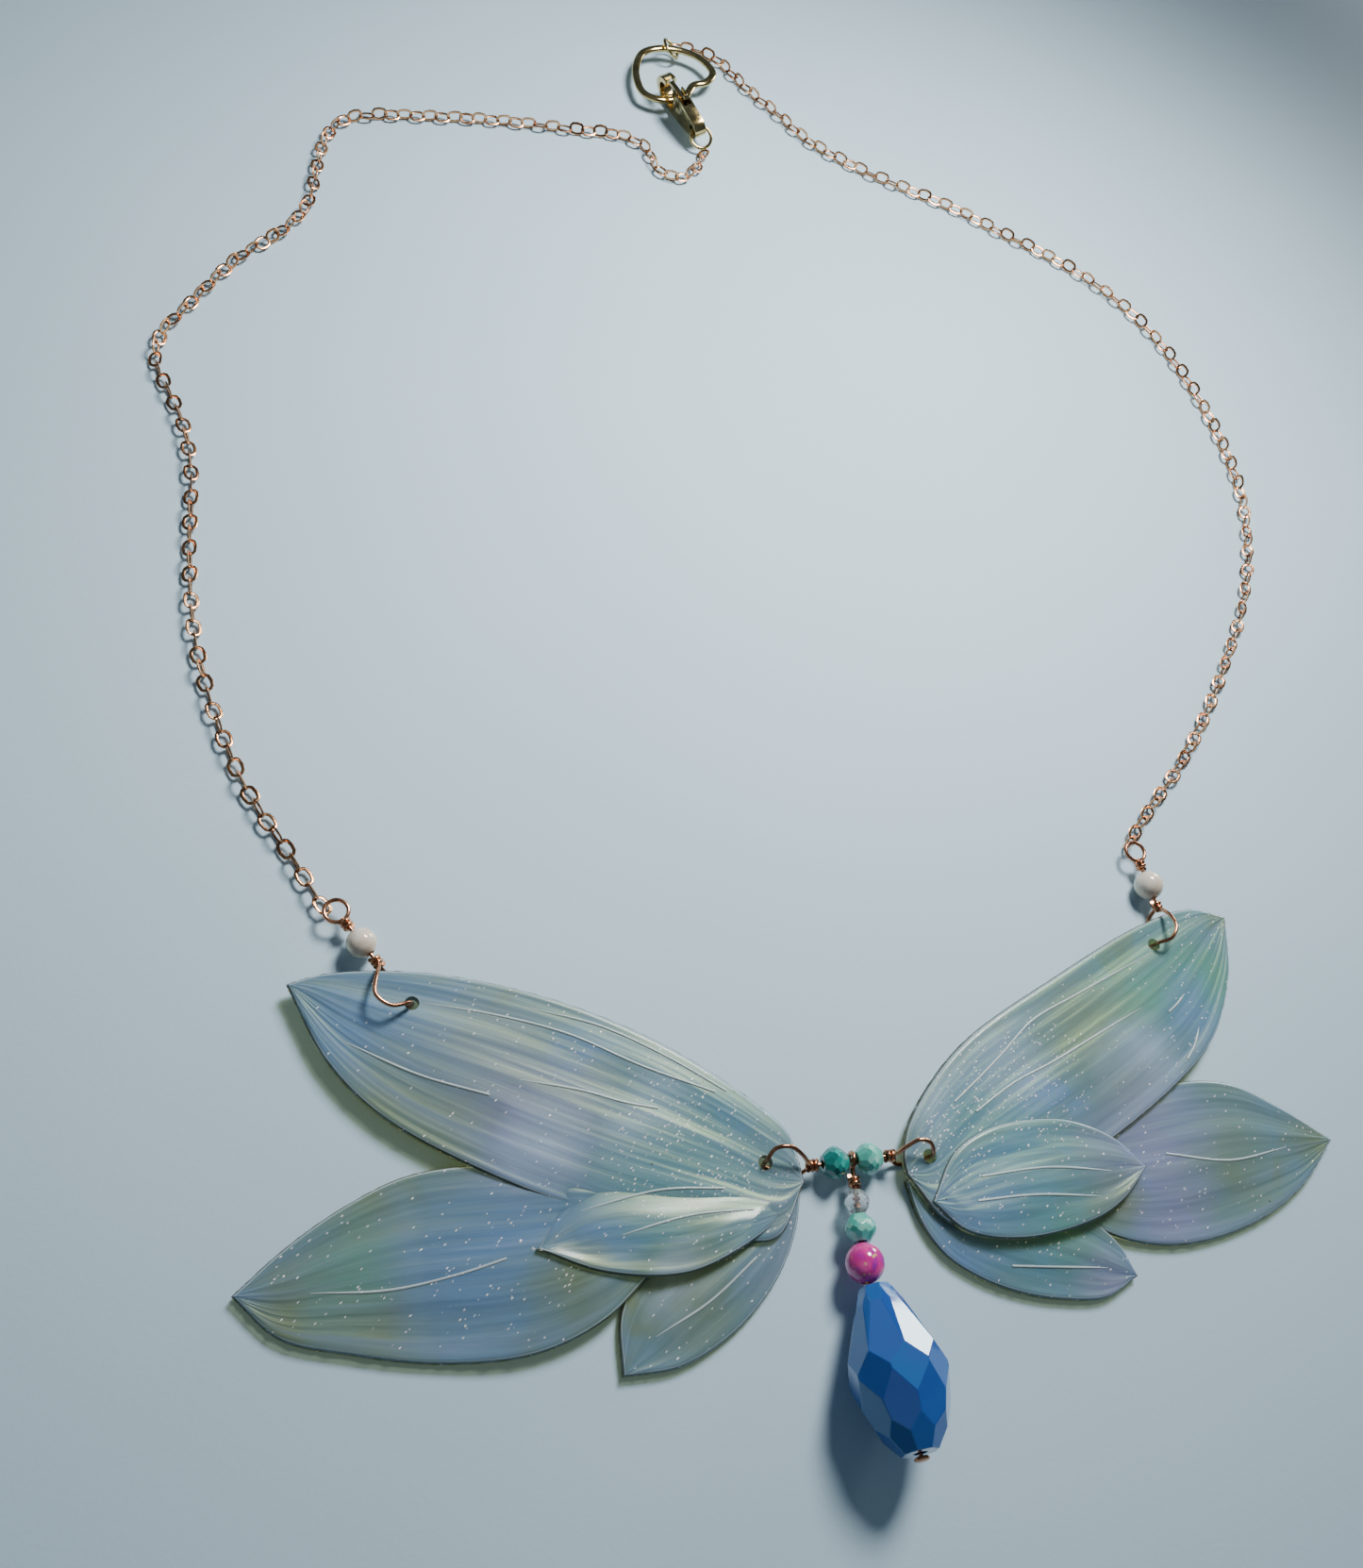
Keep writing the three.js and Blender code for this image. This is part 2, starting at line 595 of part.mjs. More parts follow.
function endRing() {
  const away = new THREE.Vector3(-Math.sin(END_RING_DROOP), -Math.cos(END_RING_DROOP), 0);
  const axis = new THREE.Vector3().crossVectors(away, new THREE.Vector3(0, 0, 1));
  return ring('end_ring', away.multiplyScalar(END_RING_REACH), axis);
}

function lobster() {
  const group = new THREE.Group();
  const y = LOBSTER_AIM.clone().normalize();
  const flat = new THREE.Vector3(-y.y, y.x, 0);
  const roll = THREE.MathUtils.degToRad(LOBSTER_ROLL);
  const x = flat.multiplyScalar(Math.cos(roll)).add(new THREE.Vector3(0, 0, Math.sin(roll)));
  const z = new THREE.Vector3().crossVectors(x, y);
  group.quaternion.setFromRotationMatrix(new THREE.Matrix4().makeBasis(x, y, z));
  group.position.copy(LOBSTER_EYE);
  group.add(lobsterBody(), lobsterLever(), lobsterPin(), lobsterSpring(), endRing());
  return group;
}

// ---- the two runs of chain --------------------------------------------------------------------------

const CHAIN_Z = 0.92; // middle of the chain above the table
const LEFT_CHAIN = [
  [-51.5, 32.8], [-54.6, 38.9], [-58.8, 46.8], [-61.7, 55.2], [-63.8, 64.1], [-64.6, 72.0],
  [-64.8, 79.6], [-64.7, 91.3], [-65.7, 98.5], [-67.4, 103.6], [-69.0, 108.9], [-68.0, 114.0],
  [-65.6, 117.7], [-62.9, 121.9], [-58.5, 128.1], [-53.1, 133.4], [-49.5, 139.1], [-47.9, 146.8],
  [-46.4, 153.4], [-43.8, 157.6], [-39.4, 159.4], [-30.4, 160.3], [-21.1, 160.8], [-8.9, 160.4],
  [-0.6, 159.8], [2.6, 157.4], [3.4, 153.6], [6.2, 151.2], [9.8, 153.6], [11.8, 157.4],
];
const RIGHT_CHAIN = [
  [11.5, 183.7], [15.0, 183.4], [18.2, 181.7], [20.3, 178.3], [22.9, 174.0], [26.4, 169.4],
  [31.0, 162.9], [38.6, 157.1], [46.4, 153.0], [54.2, 149.0], [60.2, 144.8], [66.5, 140.7],
  [73.0, 135.7], [78.6, 129.0], [82.5, 121.1], [85.0, 110.8], [85.9, 100.7], [85.4, 91.0],
  [82.7, 81.0], [77.9, 70.9], [71.6, 61.7], [64.8, 52.9], [57.6, 45.0], [50.8, 38.8], [46.2, 34.4],
];

function chain(name, points) {
  const route = new THREE.CatmullRomCurve3(
    points.map(([x, y]) => new THREE.Vector3(x, y, CHAIN_Z)), false, 'centripetal');
  return node(name, tube(route, CHAIN_DIAMETER, 64, CHAIN_SIDES), ROSE_GOLD);
}

// ---- the whole necklace -------------------------------------------------------------------------------

const pendant = new THREE.Group();
pendant.add(
  wing(LEFT_WING),
  wing(RIGHT_WING),
  ...connector(),
  ...drop(),
  ...LINKS.flatMap(pearlLink),
);

const necklace = new THREE.Group();
necklace.add(
  pendant,
  heartRing(),
  jumpRing(),
  lobster(),
  chain('left_chain', LEFT_CHAIN),
  chain('right_chain', RIGHT_CHAIN),
);

const extent = new THREE.Box3().setFromObject(pendant, true);
const centre = extent.getCenter(new THREE.Vector3());
necklace.position.set(-centre.x, -centre.y, -extent.min.z);

const part = new THREE.Group();
part.add(necklace);
export default part;
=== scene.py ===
# %% [markdown]
# # A fairy wing necklace
# The real object is a handmade necklace: two layered film wings, a short drop of beads between them,
# a pearl on each side and a fine chain with a heart clasp. It lies flat on paper.
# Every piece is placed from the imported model, so this first cell only loads it and notes its box.
# One unit is one metre, so a wire of 0.45 mm is 0.00045.

# %% Load the model
import json
import math
import random

import bmesh
import bpy
from mathutils import Euler, Matrix, Vector
from mathutils.bvhtree import BVHTree
from mathutils.kdtree import KDTree


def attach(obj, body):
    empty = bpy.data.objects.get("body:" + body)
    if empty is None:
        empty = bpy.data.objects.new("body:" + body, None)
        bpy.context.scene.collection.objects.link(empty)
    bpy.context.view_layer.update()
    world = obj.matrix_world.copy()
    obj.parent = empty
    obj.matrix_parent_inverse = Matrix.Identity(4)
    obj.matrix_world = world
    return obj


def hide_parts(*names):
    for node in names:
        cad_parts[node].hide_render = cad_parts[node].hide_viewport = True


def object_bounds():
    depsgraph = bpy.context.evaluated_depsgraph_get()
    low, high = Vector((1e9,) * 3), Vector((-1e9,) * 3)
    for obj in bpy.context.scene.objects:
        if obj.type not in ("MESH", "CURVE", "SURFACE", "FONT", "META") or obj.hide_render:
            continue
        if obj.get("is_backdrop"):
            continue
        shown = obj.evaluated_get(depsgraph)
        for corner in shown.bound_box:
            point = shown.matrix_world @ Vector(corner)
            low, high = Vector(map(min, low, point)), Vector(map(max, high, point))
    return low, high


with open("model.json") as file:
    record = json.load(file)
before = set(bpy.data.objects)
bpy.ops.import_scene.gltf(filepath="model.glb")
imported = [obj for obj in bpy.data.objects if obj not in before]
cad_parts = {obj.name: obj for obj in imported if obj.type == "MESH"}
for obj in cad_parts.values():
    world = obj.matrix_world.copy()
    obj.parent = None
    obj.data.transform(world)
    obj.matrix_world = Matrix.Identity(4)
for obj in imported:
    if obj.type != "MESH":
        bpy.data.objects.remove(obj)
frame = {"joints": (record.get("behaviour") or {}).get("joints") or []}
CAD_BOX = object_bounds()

MM = 0.001
scene = bpy.context.scene
HINGES = {joint["name"]: Vector(joint["pos_m"]) for joint in frame["joints"]}
AXES = {joint["name"]: Vector(joint["axis"]).normalized() for joint in frame["joints"]}
CONNECTOR = HINGES["drop_swing"]
CONNECTOR_FROM_MIDDLE = Vector((0.4, 0, 1.9)) * MM
MIDDLE = CONNECTOR - CONNECTOR_FROM_MIDDLE
print("the necklace's own zero is at", [round(c / MM, 2) for c in MIDDLE], "mm")


def at(x, y, z=0.0):
    """A place counted in millimetres from the middle of the necklace, on the table."""
    return MIDDLE + Vector((x, y, z)) * MM


def shown(name, data):
    """A new object in the scene, made of a mesh, a lamp or a camera."""
    thing = bpy.data.objects.new(name, data)
    scene.collection.objects.link(thing)
    return thing


def as_mesh(bm, name):
    mesh = bpy.data.meshes.new(name)
    bm.to_mesh(mesh)
    bm.free()
    return mesh


# %% [markdown]
# ## The camera
# The view is from in front of the drop, a little to the left and well above it, so the clasp lies
# further away and looks smaller. A camera that isn't turned looks straight down, so its three angles say
# how far it is tipped up, leaned to the side and swung round. The lens is a wide one.

# %% Set the camera
camera = shown("camera", bpy.data.cameras.new("camera"))
tipped, leaned, swung = (math.radians(angle) for angle in (28.3, -12.6, -9.34))
turn = Euler((tipped, leaned, swung)).to_matrix().to_4x4()
camera.matrix_world = Matrix.Translation(at(-51.56, -22.45, 134.0)) @ turn
camera.data.sensor_fit = "VERTICAL"
camera.data.sensor_height = 36
camera.data.lens = 30.32
camera.data.clip_start = 0.005
scene.camera = camera
print("camera", round(camera.location.z / MM), "mm above the table")

# %% [markdown]
# ## Helpers for lines
# Wires, chains and petal edges are all drawn through a few chosen points. A Catmull-Rom curve passes
# through every one of them without sharp corners, which is how bent wire looks. A second helper walks
# along such a curve in even steps, because a tube or a chain needs even spacing.

# %% Curves through points
def smooth(points, steps=12, closed=False):
    """A centripetal Catmull-Rom curve through the points, with a few steps between each two."""
    if closed:
        ends = [points[-1], *points, points[0], points[1]]
    else:
        ends = [2 * points[0] - points[1], *points, 2 * points[-1] - points[-2]]
    line = []
    for a, b, c, d in zip(ends, ends[1:], ends[2:], ends[3:]):
        t1 = max((b - a).length, 1e-9) ** 0.5
        t2 = t1 + max((c - b).length, 1e-9) ** 0.5
        t3 = t2 + max((d - c).length, 1e-9) ** 0.5
        for i in range(steps):
            t = t1 + (t2 - t1) * i / steps
            p = a.lerp(b, t / t1)
            q = b.lerp(c, (t - t1) / (t2 - t1))
            r = c.lerp(d, (t - t2) / (t3 - t2))
            line.append(p.lerp(q, t / t2).lerp(q.lerp(r, (t - t1) / (t3 - t1)), (t - t1) / (t2 - t1)))
    return line if closed else [*line, points[-1]]


def lengths_along(line):
    """How far along the line each of its points is."""
    far = [0.0]
    for a, b in zip(line, line[1:]):
        far.append(far[-1] + (b - a).length)
    return far


def walk(line, count):
    """Points at even steps along the line, with its two ends."""
    far = lengths_along(line)
    places, i = [], 0
    for step in range(count):
        want = far[-1] * step / (count - 1)
        while i < len(far) - 2 and far[i + 1] < want:
            i += 1
        span = max(far[i + 1] - far[i], 1e-12)
        places.append(line[i].lerp(line[i + 1], min((want - far[i]) / span, 1.0)))
    return places


def frames(line, closed=False, side=None):
    """A turning matrix at each point: Z along the line, X and Y carried along without twist."""
    made = []
    for i, here in enumerate(line):
        ahead = line[(i + 1) % len(line)] if closed or i < len(line) - 1 else here
        behind = line[i - 1] if closed or i > 0 else here
        z = (ahead - behind).normalized()
        if side is None:
            side = z.orthogonal().normalized()
        side = (side - z * side.dot(z)).normalized()
        y = z.cross(side)
        made.append(Matrix.Translation(here) @ Matrix((side, y, z)).transposed().to_4x4())
    return made


# %% [markdown]
# ## Helpers for shapes
# Most metal here is round wire. It is made as a maker would draw it: a small circle is extruded from
# station to station along the line. A turned bead starts as half its outline and is spun round its
# hole. A cut bead is a block from which one flat plane after another is sliced, as a stone is ground.

# %% Sweep a tube and spin a bead
TOUCHING = 1e-7


def sweep(bm, line, radius, sides=10, closed=False, wide=1.0, side=None):
    """A tube along the line. radius is one number or one for each point; wide stretches it sideways."""
    radii = radius if isinstance(radius, list) else [radius] * len(line)
    stations = frames(line, closed, side)
    shape = Matrix.Diagonal((wide, 1, 1, 1))
    first = bmesh.ops.create_circle(bm, segments=sides, radius=1.0, cap_ends=False)["verts"]
    ring = first
    edges = list({e for v in first for e in v.link_edges})
    start_edges = edges
    base = [v.co.copy() for v in first]
    for v, co in zip(first, base):
        v.co = stations[0] @ (shape @ co * radii[0])
    for station, size in zip(stations[1:], radii[1:]):
        made = bmesh.ops.extrude_edge_only(bm, edges=edges)["geom"]
        edges = [g for g in made if isinstance(g, bmesh.types.BMEdge)]
        fresh = {g for g in made if isinstance(g, bmesh.types.BMVert)}
        ring = [next(e.other_vert(v) for e in v.link_edges if e.other_vert(v) in fresh) for v in ring]
        for v, co in zip(ring, base):
            v.co = station @ (shape @ co * size)
        edges = [e for e in edges if e.verts[0] in fresh and e.verts[1] in fresh]
    if closed:
        bmesh.ops.bridge_loops(bm, edges=start_edges + edges)
    else:
        for loop in (start_edges, edges):
            bmesh.ops.holes_fill(bm, edges=loop, sides=0)


def spun_round(bm, geom, steps):
    bmesh.ops.spin(bm, geom=geom, cent=(0, 0, 0), axis=(0, 0, 1), angle=math.tau, steps=steps,
                   use_merge=True, use_duplicate=False)


def turned(bm, outline, place, steps=32):
    """Spins an outline of (radius, height) pairs, in metres, round the Z axis, then puts it in place."""
    old = set(bm.verts)
    verts = [bm.verts.new((r, 0, z)) for r, z in outline]
    edges = [bm.edges.new(pair) for pair in zip(verts, verts[1:])]
    spun_round(bm, verts + edges, steps)
    fresh = [v for v in bm.verts if v not in old]
    bmesh.ops.remove_doubles(bm, verts=fresh, dist=TOUCHING)
    bmesh.ops.transform(bm, matrix=place, verts=[v for v in fresh if v.is_valid])


# %% Grind a faceted stone
CORNER = 0.004 * MM
PIT_DEPTH = 0.6 * MM


def facet_planes(rows, count, long, turn):
    """A spot on each flat of the stone and the way it faces: its two ends first, then row after row."""
    planes = [(Vector((0, 0, 0)), Vector((0, 0, -1))), (Vector((0, 0, long)), Vector((0, 0, 1)))]
    for half, (r1, h1), (r2, h2) in rows:
        for k in range(count):
            angle = turn + math.tau * (k + half) / count
            out = Vector((math.cos(angle), math.sin(angle), 0))
            normal = out * (h2 - h1) + Vector((0, 0, r1 - r2))
            planes.append((out * r1 + Vector((0, 0, h1)), normal.normalized()))
    return planes


def sink_pits(bm, count, bore):
    """The mouth of the bore in each flat end, which the wire covers."""
    for face in [f for f in bm.faces if abs(f.normal.z) > 0.999 and len(f.verts) >= count]:
        inward = -PIT_DEPTH if face.normal.z > 0 else PIT_DEPTH
        reach = min(((e.verts[0].co + e.verts[1].co) / 2).xy.length for e in face.edges)
        bmesh.ops.inset_individual(bm, faces=[face], thickness=max(reach - bore, reach * 0.1))
        pit = bmesh.ops.extrude_discrete_faces(bm, faces=[face])["faces"]
        bmesh.ops.translate(bm, verts=pit[0].verts, vec=(0, 0, inward))


def cut_stone(bm, rows, count, long, place, bore, soften=0.03 * MM, turn=0.0):
    """A block ground flat, facet by facet: a row is (half a step or 0, start, end), each (radius, height)."""
    bmesh.ops.create_cube(bm, size=4 * long, matrix=Matrix.Translation((0, 0, long / 2)))
    for spot, normal in facet_planes(rows, count, long, turn):
        made = bmesh.ops.bisect_plane(bm, geom=bm.verts[:] + bm.edges[:] + bm.faces[:], dist=1e-9,
                                      plane_co=spot, plane_no=normal, clear_outer=True)
        edges = [g for g in made["geom_cut"] if isinstance(g, bmesh.types.BMEdge)]
        if edges:
            bmesh.ops.contextual_create(bm, geom=edges)
    bmesh.ops.remove_doubles(bm, verts=bm.verts, dist=CORNER)
    bmesh.ops.recalc_face_normals(bm, faces=bm.faces)
    tint = bm.faces.layers.float.new("facet")
    dice = random.Random(round(long / MM * 10) + count)
    for face in bm.faces:
        face[tint] = dice.random()
    bmesh.ops.bevel(bm, geom=bm.edges[:], offset=soften, affect="EDGES", segments=1, profile=0.5, material=-1,
                    clamp_overlap=True)
    sink_pits(bm, count, bore)
    bmesh.ops.transform(bm, matrix=place, verts=bm.verts)


# %% Make a finished piece
def finished(bm, name, material, body, replaces=(), smooth_angle=40):
    """Turns a bmesh into a piece of the necklace that rides on its body."""
    bmesh.ops.recalc_face_normals(bm, faces=bm.faces)
    mesh = as_mesh(bm, name)
    mesh.shade_smooth()
    mesh.set_sharp_from_angle(angle=math.radians(smooth_angle))
    mesh.materials.append(material)
    piece = shown(name, mesh)
    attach(piece, body)
    if replaces:
        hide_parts(*replaces)
    print(name, len(mesh.polygons), "faces")
    return piece


# %% [markdown]
# ## Finishes
# A finish is a small graph of nodes round one Principled shader. This helper class keeps the wiring
# short: it adds a node, sets its inputs and returns its output. Patterns are counted on the object's own
# coordinates in metres, so a noise scale of 200 has waves of about 5 mm.

# %% A helper for finishes
class Finish:
    """A material whose Principled shader starts with the given sockets, such as Coat_Weight=0.5."""

    def __init__(self, name, **sockets):
        self.material = bpy.data.materials.new(name)
        self.material.use_nodes = True
        self.nodes = self.material.node_tree.nodes
        self.links = self.material.node_tree.links
        self.shader = self.nodes["Principled BSDF"]
        for socket, value in sockets.items():
            self.shader.inputs[socket.replace("_", " ")].default_value = value
        self.place = self.nodes.new("ShaderNodeTexCoord").outputs["Object"]

    def node(self, kind, inputs, output=0, **settings):
        """Adds a node: an input is a number, a colour or the output of another node."""
        made = self.nodes.new(kind)
        for key, value in settings.items():
            setattr(made, key, value)
        for key, value in inputs.items():
            if isinstance(value, bpy.types.NodeSocket):
                self.links.new(value, made.inputs[key])
            else:
                made.inputs[key].default_value = value
        return made.outputs[output]

    def stretched(self, source, scale):
        return self.node("ShaderNodeMapping", {"Vector": source, "Scale": scale})

    def noise(self, scale, detail=3.0, roughness=0.5, source=None, distortion=0.0):
        inputs = {"Vector": source or self.place, "Scale": scale, "Detail": detail, "Roughness": roughness,
                  "Distortion": distortion}
        return self.node("ShaderNodeTexNoise", inputs)

    def cells(self, scale, output, source=None):
        return self.node("ShaderNodeTexVoronoi", {"Vector": source or self.place, "Scale": scale}, output)

    def ramp(self, value, stops):
        made = self.nodes.new("ShaderNodeValToRGB")
        self.links.new(value, made.inputs[0])
        ramp = made.color_ramp
        while len(ramp.elements) < len(stops):
            ramp.elements.new(0.5)
        for element, (place, colour) in zip(ramp.elements, stops):
            element.position = place
            element.color = (*colour, 1)
        return made.outputs[0]

    def level(self, value, low, high, to_low=0.0, to_high=1.0):
        """Slides from to_low to to_high as the value goes from low to high."""
        return self.node("ShaderNodeMapRange", {"Value": value, "From Min": low, "From Max": high,
                         "To Min": to_low, "To Max": to_high})

    def maths(self, a, b, operation="MULTIPLY"):
        return self.node("ShaderNodeMath", {0: a, 1: b}, operation=operation)

    def distance(self, source, spot):
        return self.node("ShaderNodeVectorMath", {0: source, 1: spot}, output=1, operation="DISTANCE")

    def mixed(self, share, a, b):
        """A colour that goes from a to b by the share."""
        made = self.nodes.new("ShaderNodeMix")
        made.data_type = "RGBA"
        for socket, value in zip((made.inputs[0], made.inputs[6], made.inputs[7]), (share, a, b)):
            if isinstance(value, bpy.types.NodeSocket):
                self.links.new(value, socket)
            elif isinstance(value, tuple):
                socket.default_value = (*value, 1)
            else:
                socket.default_value = value
        return made.outputs[2]

    def bump(self, height, distance, strength=1.0, under=None):
        inputs = {"Height": height, "Distance": distance, "Strength": strength}
        if under:
            inputs["Normal"] = under
        return self.node("ShaderNodeBump", inputs)

    def wire_up(self, **sockets):
        for socket, value in sockets.items():
            self.links.new(value, self.shader.inputs[socket.replace("_", " ")])
        return self.material

    def let_light_through(self, colour):
        """Lamps shine through the piece in this colour, so that its shadow is tinted and not black."""
        clear = self.node("ShaderNodeBsdfTransparent", {"Color": (*colour, 1)})
        lamp_ray = self.node("ShaderNodeLightPath", {}, output="Is Shadow Ray")
        both = self.node("ShaderNodeMixShader", {0: lamp_ray, 1: self.shader.outputs[0], 2: clear})
        self.links.new(both, self.nodes["Material Output"].inputs["Surface"])


# %% [markdown]
# ## The metals
# The wire and the chain are copper with a rose gold colour, and the clasp is yellower brass. Drawn wire
# has faint lines and handling marks, so the roughness and the colour wander a little along it.

# %% Metal finishes
def metal(name, colour, dull, roughness, grain=900):
    f = Finish(name, Metallic=1.0)
    wander = f.noise(grain, 4, 0.6)
    tint = f.mixed(f.level(f.noise(350, 3), 0.35, 0.7), colour, dull)
    rough = f.level(wander, 0.3, 0.7, roughness * 0.7, roughness * 1.5)
    marks = f.bump(f.noise(grain * 4, 3), 0.00002, 0.35)
    return f.wire_up(Base_Color=tint, Roughness=rough, Normal=marks)


rose_wire = metal("rose gold wire", (0.72, 0.34, 0.18), (0.28, 0.10, 0.05), 0.18)
rose_chain = metal("rose gold chain", (0.82, 0.42, 0.20), (0.40, 0.16, 0.07), 0.22)
clasp_metal = metal("clasp brass", (0.74, 0.57, 0.26), (0.36, 0.25, 0.09), 0.14)
steel = metal("spring steel", (0.66, 0.66, 0.68), (0.45, 0.45, 0.47), 0.25)
print("metals:", rose_wire.name, rose_chain.name, clasp_metal.name, steel.name)

# %% [markdown]
# ## The chain
# The real chain is fine cable chain: oval links, each turned a quarter round from the last. One link is
# a small circle spun into a ring and then stretched. Copies of it walk along the chain's route. Two
# hundred links have to stay light, so each has only a few dozen faces.

# %% The chain's routes
CHAIN_HEIGHT = 0.92
LEFT_ROUTE = [
    (-51.5, 32.8), (-54.6, 38.9), (-58.8, 46.8), (-61.7, 55.2), (-63.8, 64.1), (-64.6, 72.0),
    (-64.8, 79.6), (-64.7, 91.3), (-65.7, 98.5), (-67.4, 103.6), (-69.0, 108.9), (-68.0, 114.0),
    (-65.6, 117.7), (-62.9, 121.9), (-58.5, 128.1), (-53.1, 133.4), (-49.5, 139.1), (-47.9, 146.8),
    (-46.4, 153.4), (-43.8, 157.6), (-39.4, 159.4), (-30.4, 160.3), (-21.1, 160.8), (-8.9, 160.4),
    (-0.6, 159.8), (2.6, 157.4), (3.4, 153.6), (6.2, 151.2), (9.8, 153.6), (11.8, 157.4),
]
RIGHT_ROUTE = [
    (11.5, 183.7), (15.0, 183.4), (18.2, 181.7), (20.3, 178.3), (22.9, 174.0), (26.4, 169.4),
    (31.0, 162.9), (38.6, 157.1), (46.4, 153.0), (54.2, 149.0), (60.2, 144.8), (66.5, 140.7),
    (73.0, 135.7), (78.6, 129.0), (82.5, 121.1), (85.0, 110.8), (85.9, 100.7), (85.4, 91.0),
    (82.7, 81.0), (77.9, 70.9), (71.6, 61.7), (64.8, 52.9), (57.6, 45.0), (50.8, 38.8), (46.2, 34.4),
]


def route(places):
    return smooth([at(x, y, CHAIN_HEIGHT) for x, y in places])


print(len(LEFT_ROUTE), "points along the left chain and", len(RIGHT_ROUTE), "along the right one")


# %% One link, and a run of them
LINK_PITCH = 1.87 * MM
LINK_STRETCH = 0.3 * MM
LINK_RADIUS = 0.74 * MM
LINK_SECTION = (0.21 * MM, 0.14 * MM)
LINK_SIDES = 5
LINK_STEPS = 12
UPRIGHT_ROLL = (58, 100)
FLAT_ROLL = (-24, 22)
FLAT_SINK = 0.26 * MM
SWAY = 7


def link_mesh():
    """One oval link round its own middle, long along Y."""
    bm = bmesh.new()
    ring = bmesh.ops.create_circle(bm, segments=LINK_SIDES, radius=1.0, cap_ends=False)["verts"]
    section = Matrix.Rotation(math.pi / 2, 4, "X") @ Matrix.Diagonal((*LINK_SECTION, MM, 1))
    bmesh.ops.transform(bm, matrix=Matrix.Translation((LINK_RADIUS, 0, 0)) @ section, verts=ring)
    spun_round(bm, bm.verts[:] + bm.edges[:], LINK_STEPS)
    bmesh.ops.remove_doubles(bm, verts=bm.verts, dist=TOUCHING)
    bmesh.ops.recalc_face_normals(bm, faces=bm.faces)
    for v in bm.verts:
        if abs(v.co.y) > 1e-6:
            v.co.y += math.copysign(LINK_STRETCH, v.co.y)
    return as_mesh(bm, "link")


def link_places(line, dice):
    """Where each link goes, with every second one turned on edge and each a little askew."""
    count = round(lengths_along(line)[-1] / LINK_PITCH)
    for i, station in enumerate(frames(walk(line, count))):
        along = station.to_3x3() @ Vector((0, 0, 1))
        across = along.cross(Vector((0, 0, 1))).normalized()
        upright = i % 2 == 1
        roll = dice.uniform(*(UPRIGHT_ROLL if upright else FLAT_ROLL))
        sink = 0.0 if upright else -FLAT_SINK
        basis = Matrix((across, along, across.cross(along))).transposed().to_4x4()
        yield (Matrix.Translation(station.translation + Vector((0, 0, sink))) @ basis
               @ Matrix.Rotation(math.radians(roll), 4, "Y")
               @ Matrix.Rotation(math.radians(dice.uniform(-SWAY, SWAY)), 4, "Z"))


def run_of_links(name, places):
    link = link_mesh()
    line = route(places)
    bm = bmesh.new()
    for place in link_places(line, random.Random(name)):
        have = len(bm.verts)
        bm.from_mesh(link)
        bm.verts.ensure_lookup_table()
        bmesh.ops.transform(bm, matrix=place, verts=bm.verts[have:])
    bpy.data.meshes.remove(link)
    piece = finished(bm, name + "_links", rose_chain, "necklace", [name], 60)
    long = lengths_along(line)[-1]
    tuple(line[0])
    [tuple(p) for p in walk(line, 160)]
    print(name, round(long / MM), "mm")


run_of_links("left_chain", LEFT_ROUTE)
run_of_links("right_chain", RIGHT_ROUTE)

# %% [markdown]
# ## The finish of the film
# Each petal is a sheet of clear film with pearl pigment pressed on it, cast in resin. Up close it is
# pale mint with soft patches of blue, green, lilac and olive, fine streaks that run from the root to the
# tip, and a scatter of glitter. The streaks read the petal's own map, so they follow the petal, and each
# patch has its own place on the wings. The thin wall round the edge shows the resin's olive brown,
# because light crosses more of it there.

# %% Colours of the film
PALETTE = {
    "base": (0.162, 0.275, 0.325), "olive": (0.190, 0.245, 0.115), "green": (0.110, 0.345, 0.220),
    "teal": (0.100, 0.280, 0.320), "blue": (0.145, 0.275, 0.500), "lilac": (0.300, 0.285, 0.470),
    "pearl": (0.440, 0.570, 0.760), "grey": (0.240, 0.290, 0.370), "rim": (0.150, 0.130, 0.045),
    "streak_shade": (0.10, 0.16, 0.15), "streak_light": (0.48, 0.58, 0.62),
    # painted_highlight is painted light: the pale line just inside the rim and along the veins
    "band_shade": (0.16, 0.22, 0.19), "painted_highlight": (0.74, 0.84, 0.84), "depth": (0.01, 0.045, 0.115),
    "glitter": (1.0, 0.93, 0.95), "speck": (0.05, 0.04, 0.03), "shadow": (0.34, 0.33, 0.16),
}
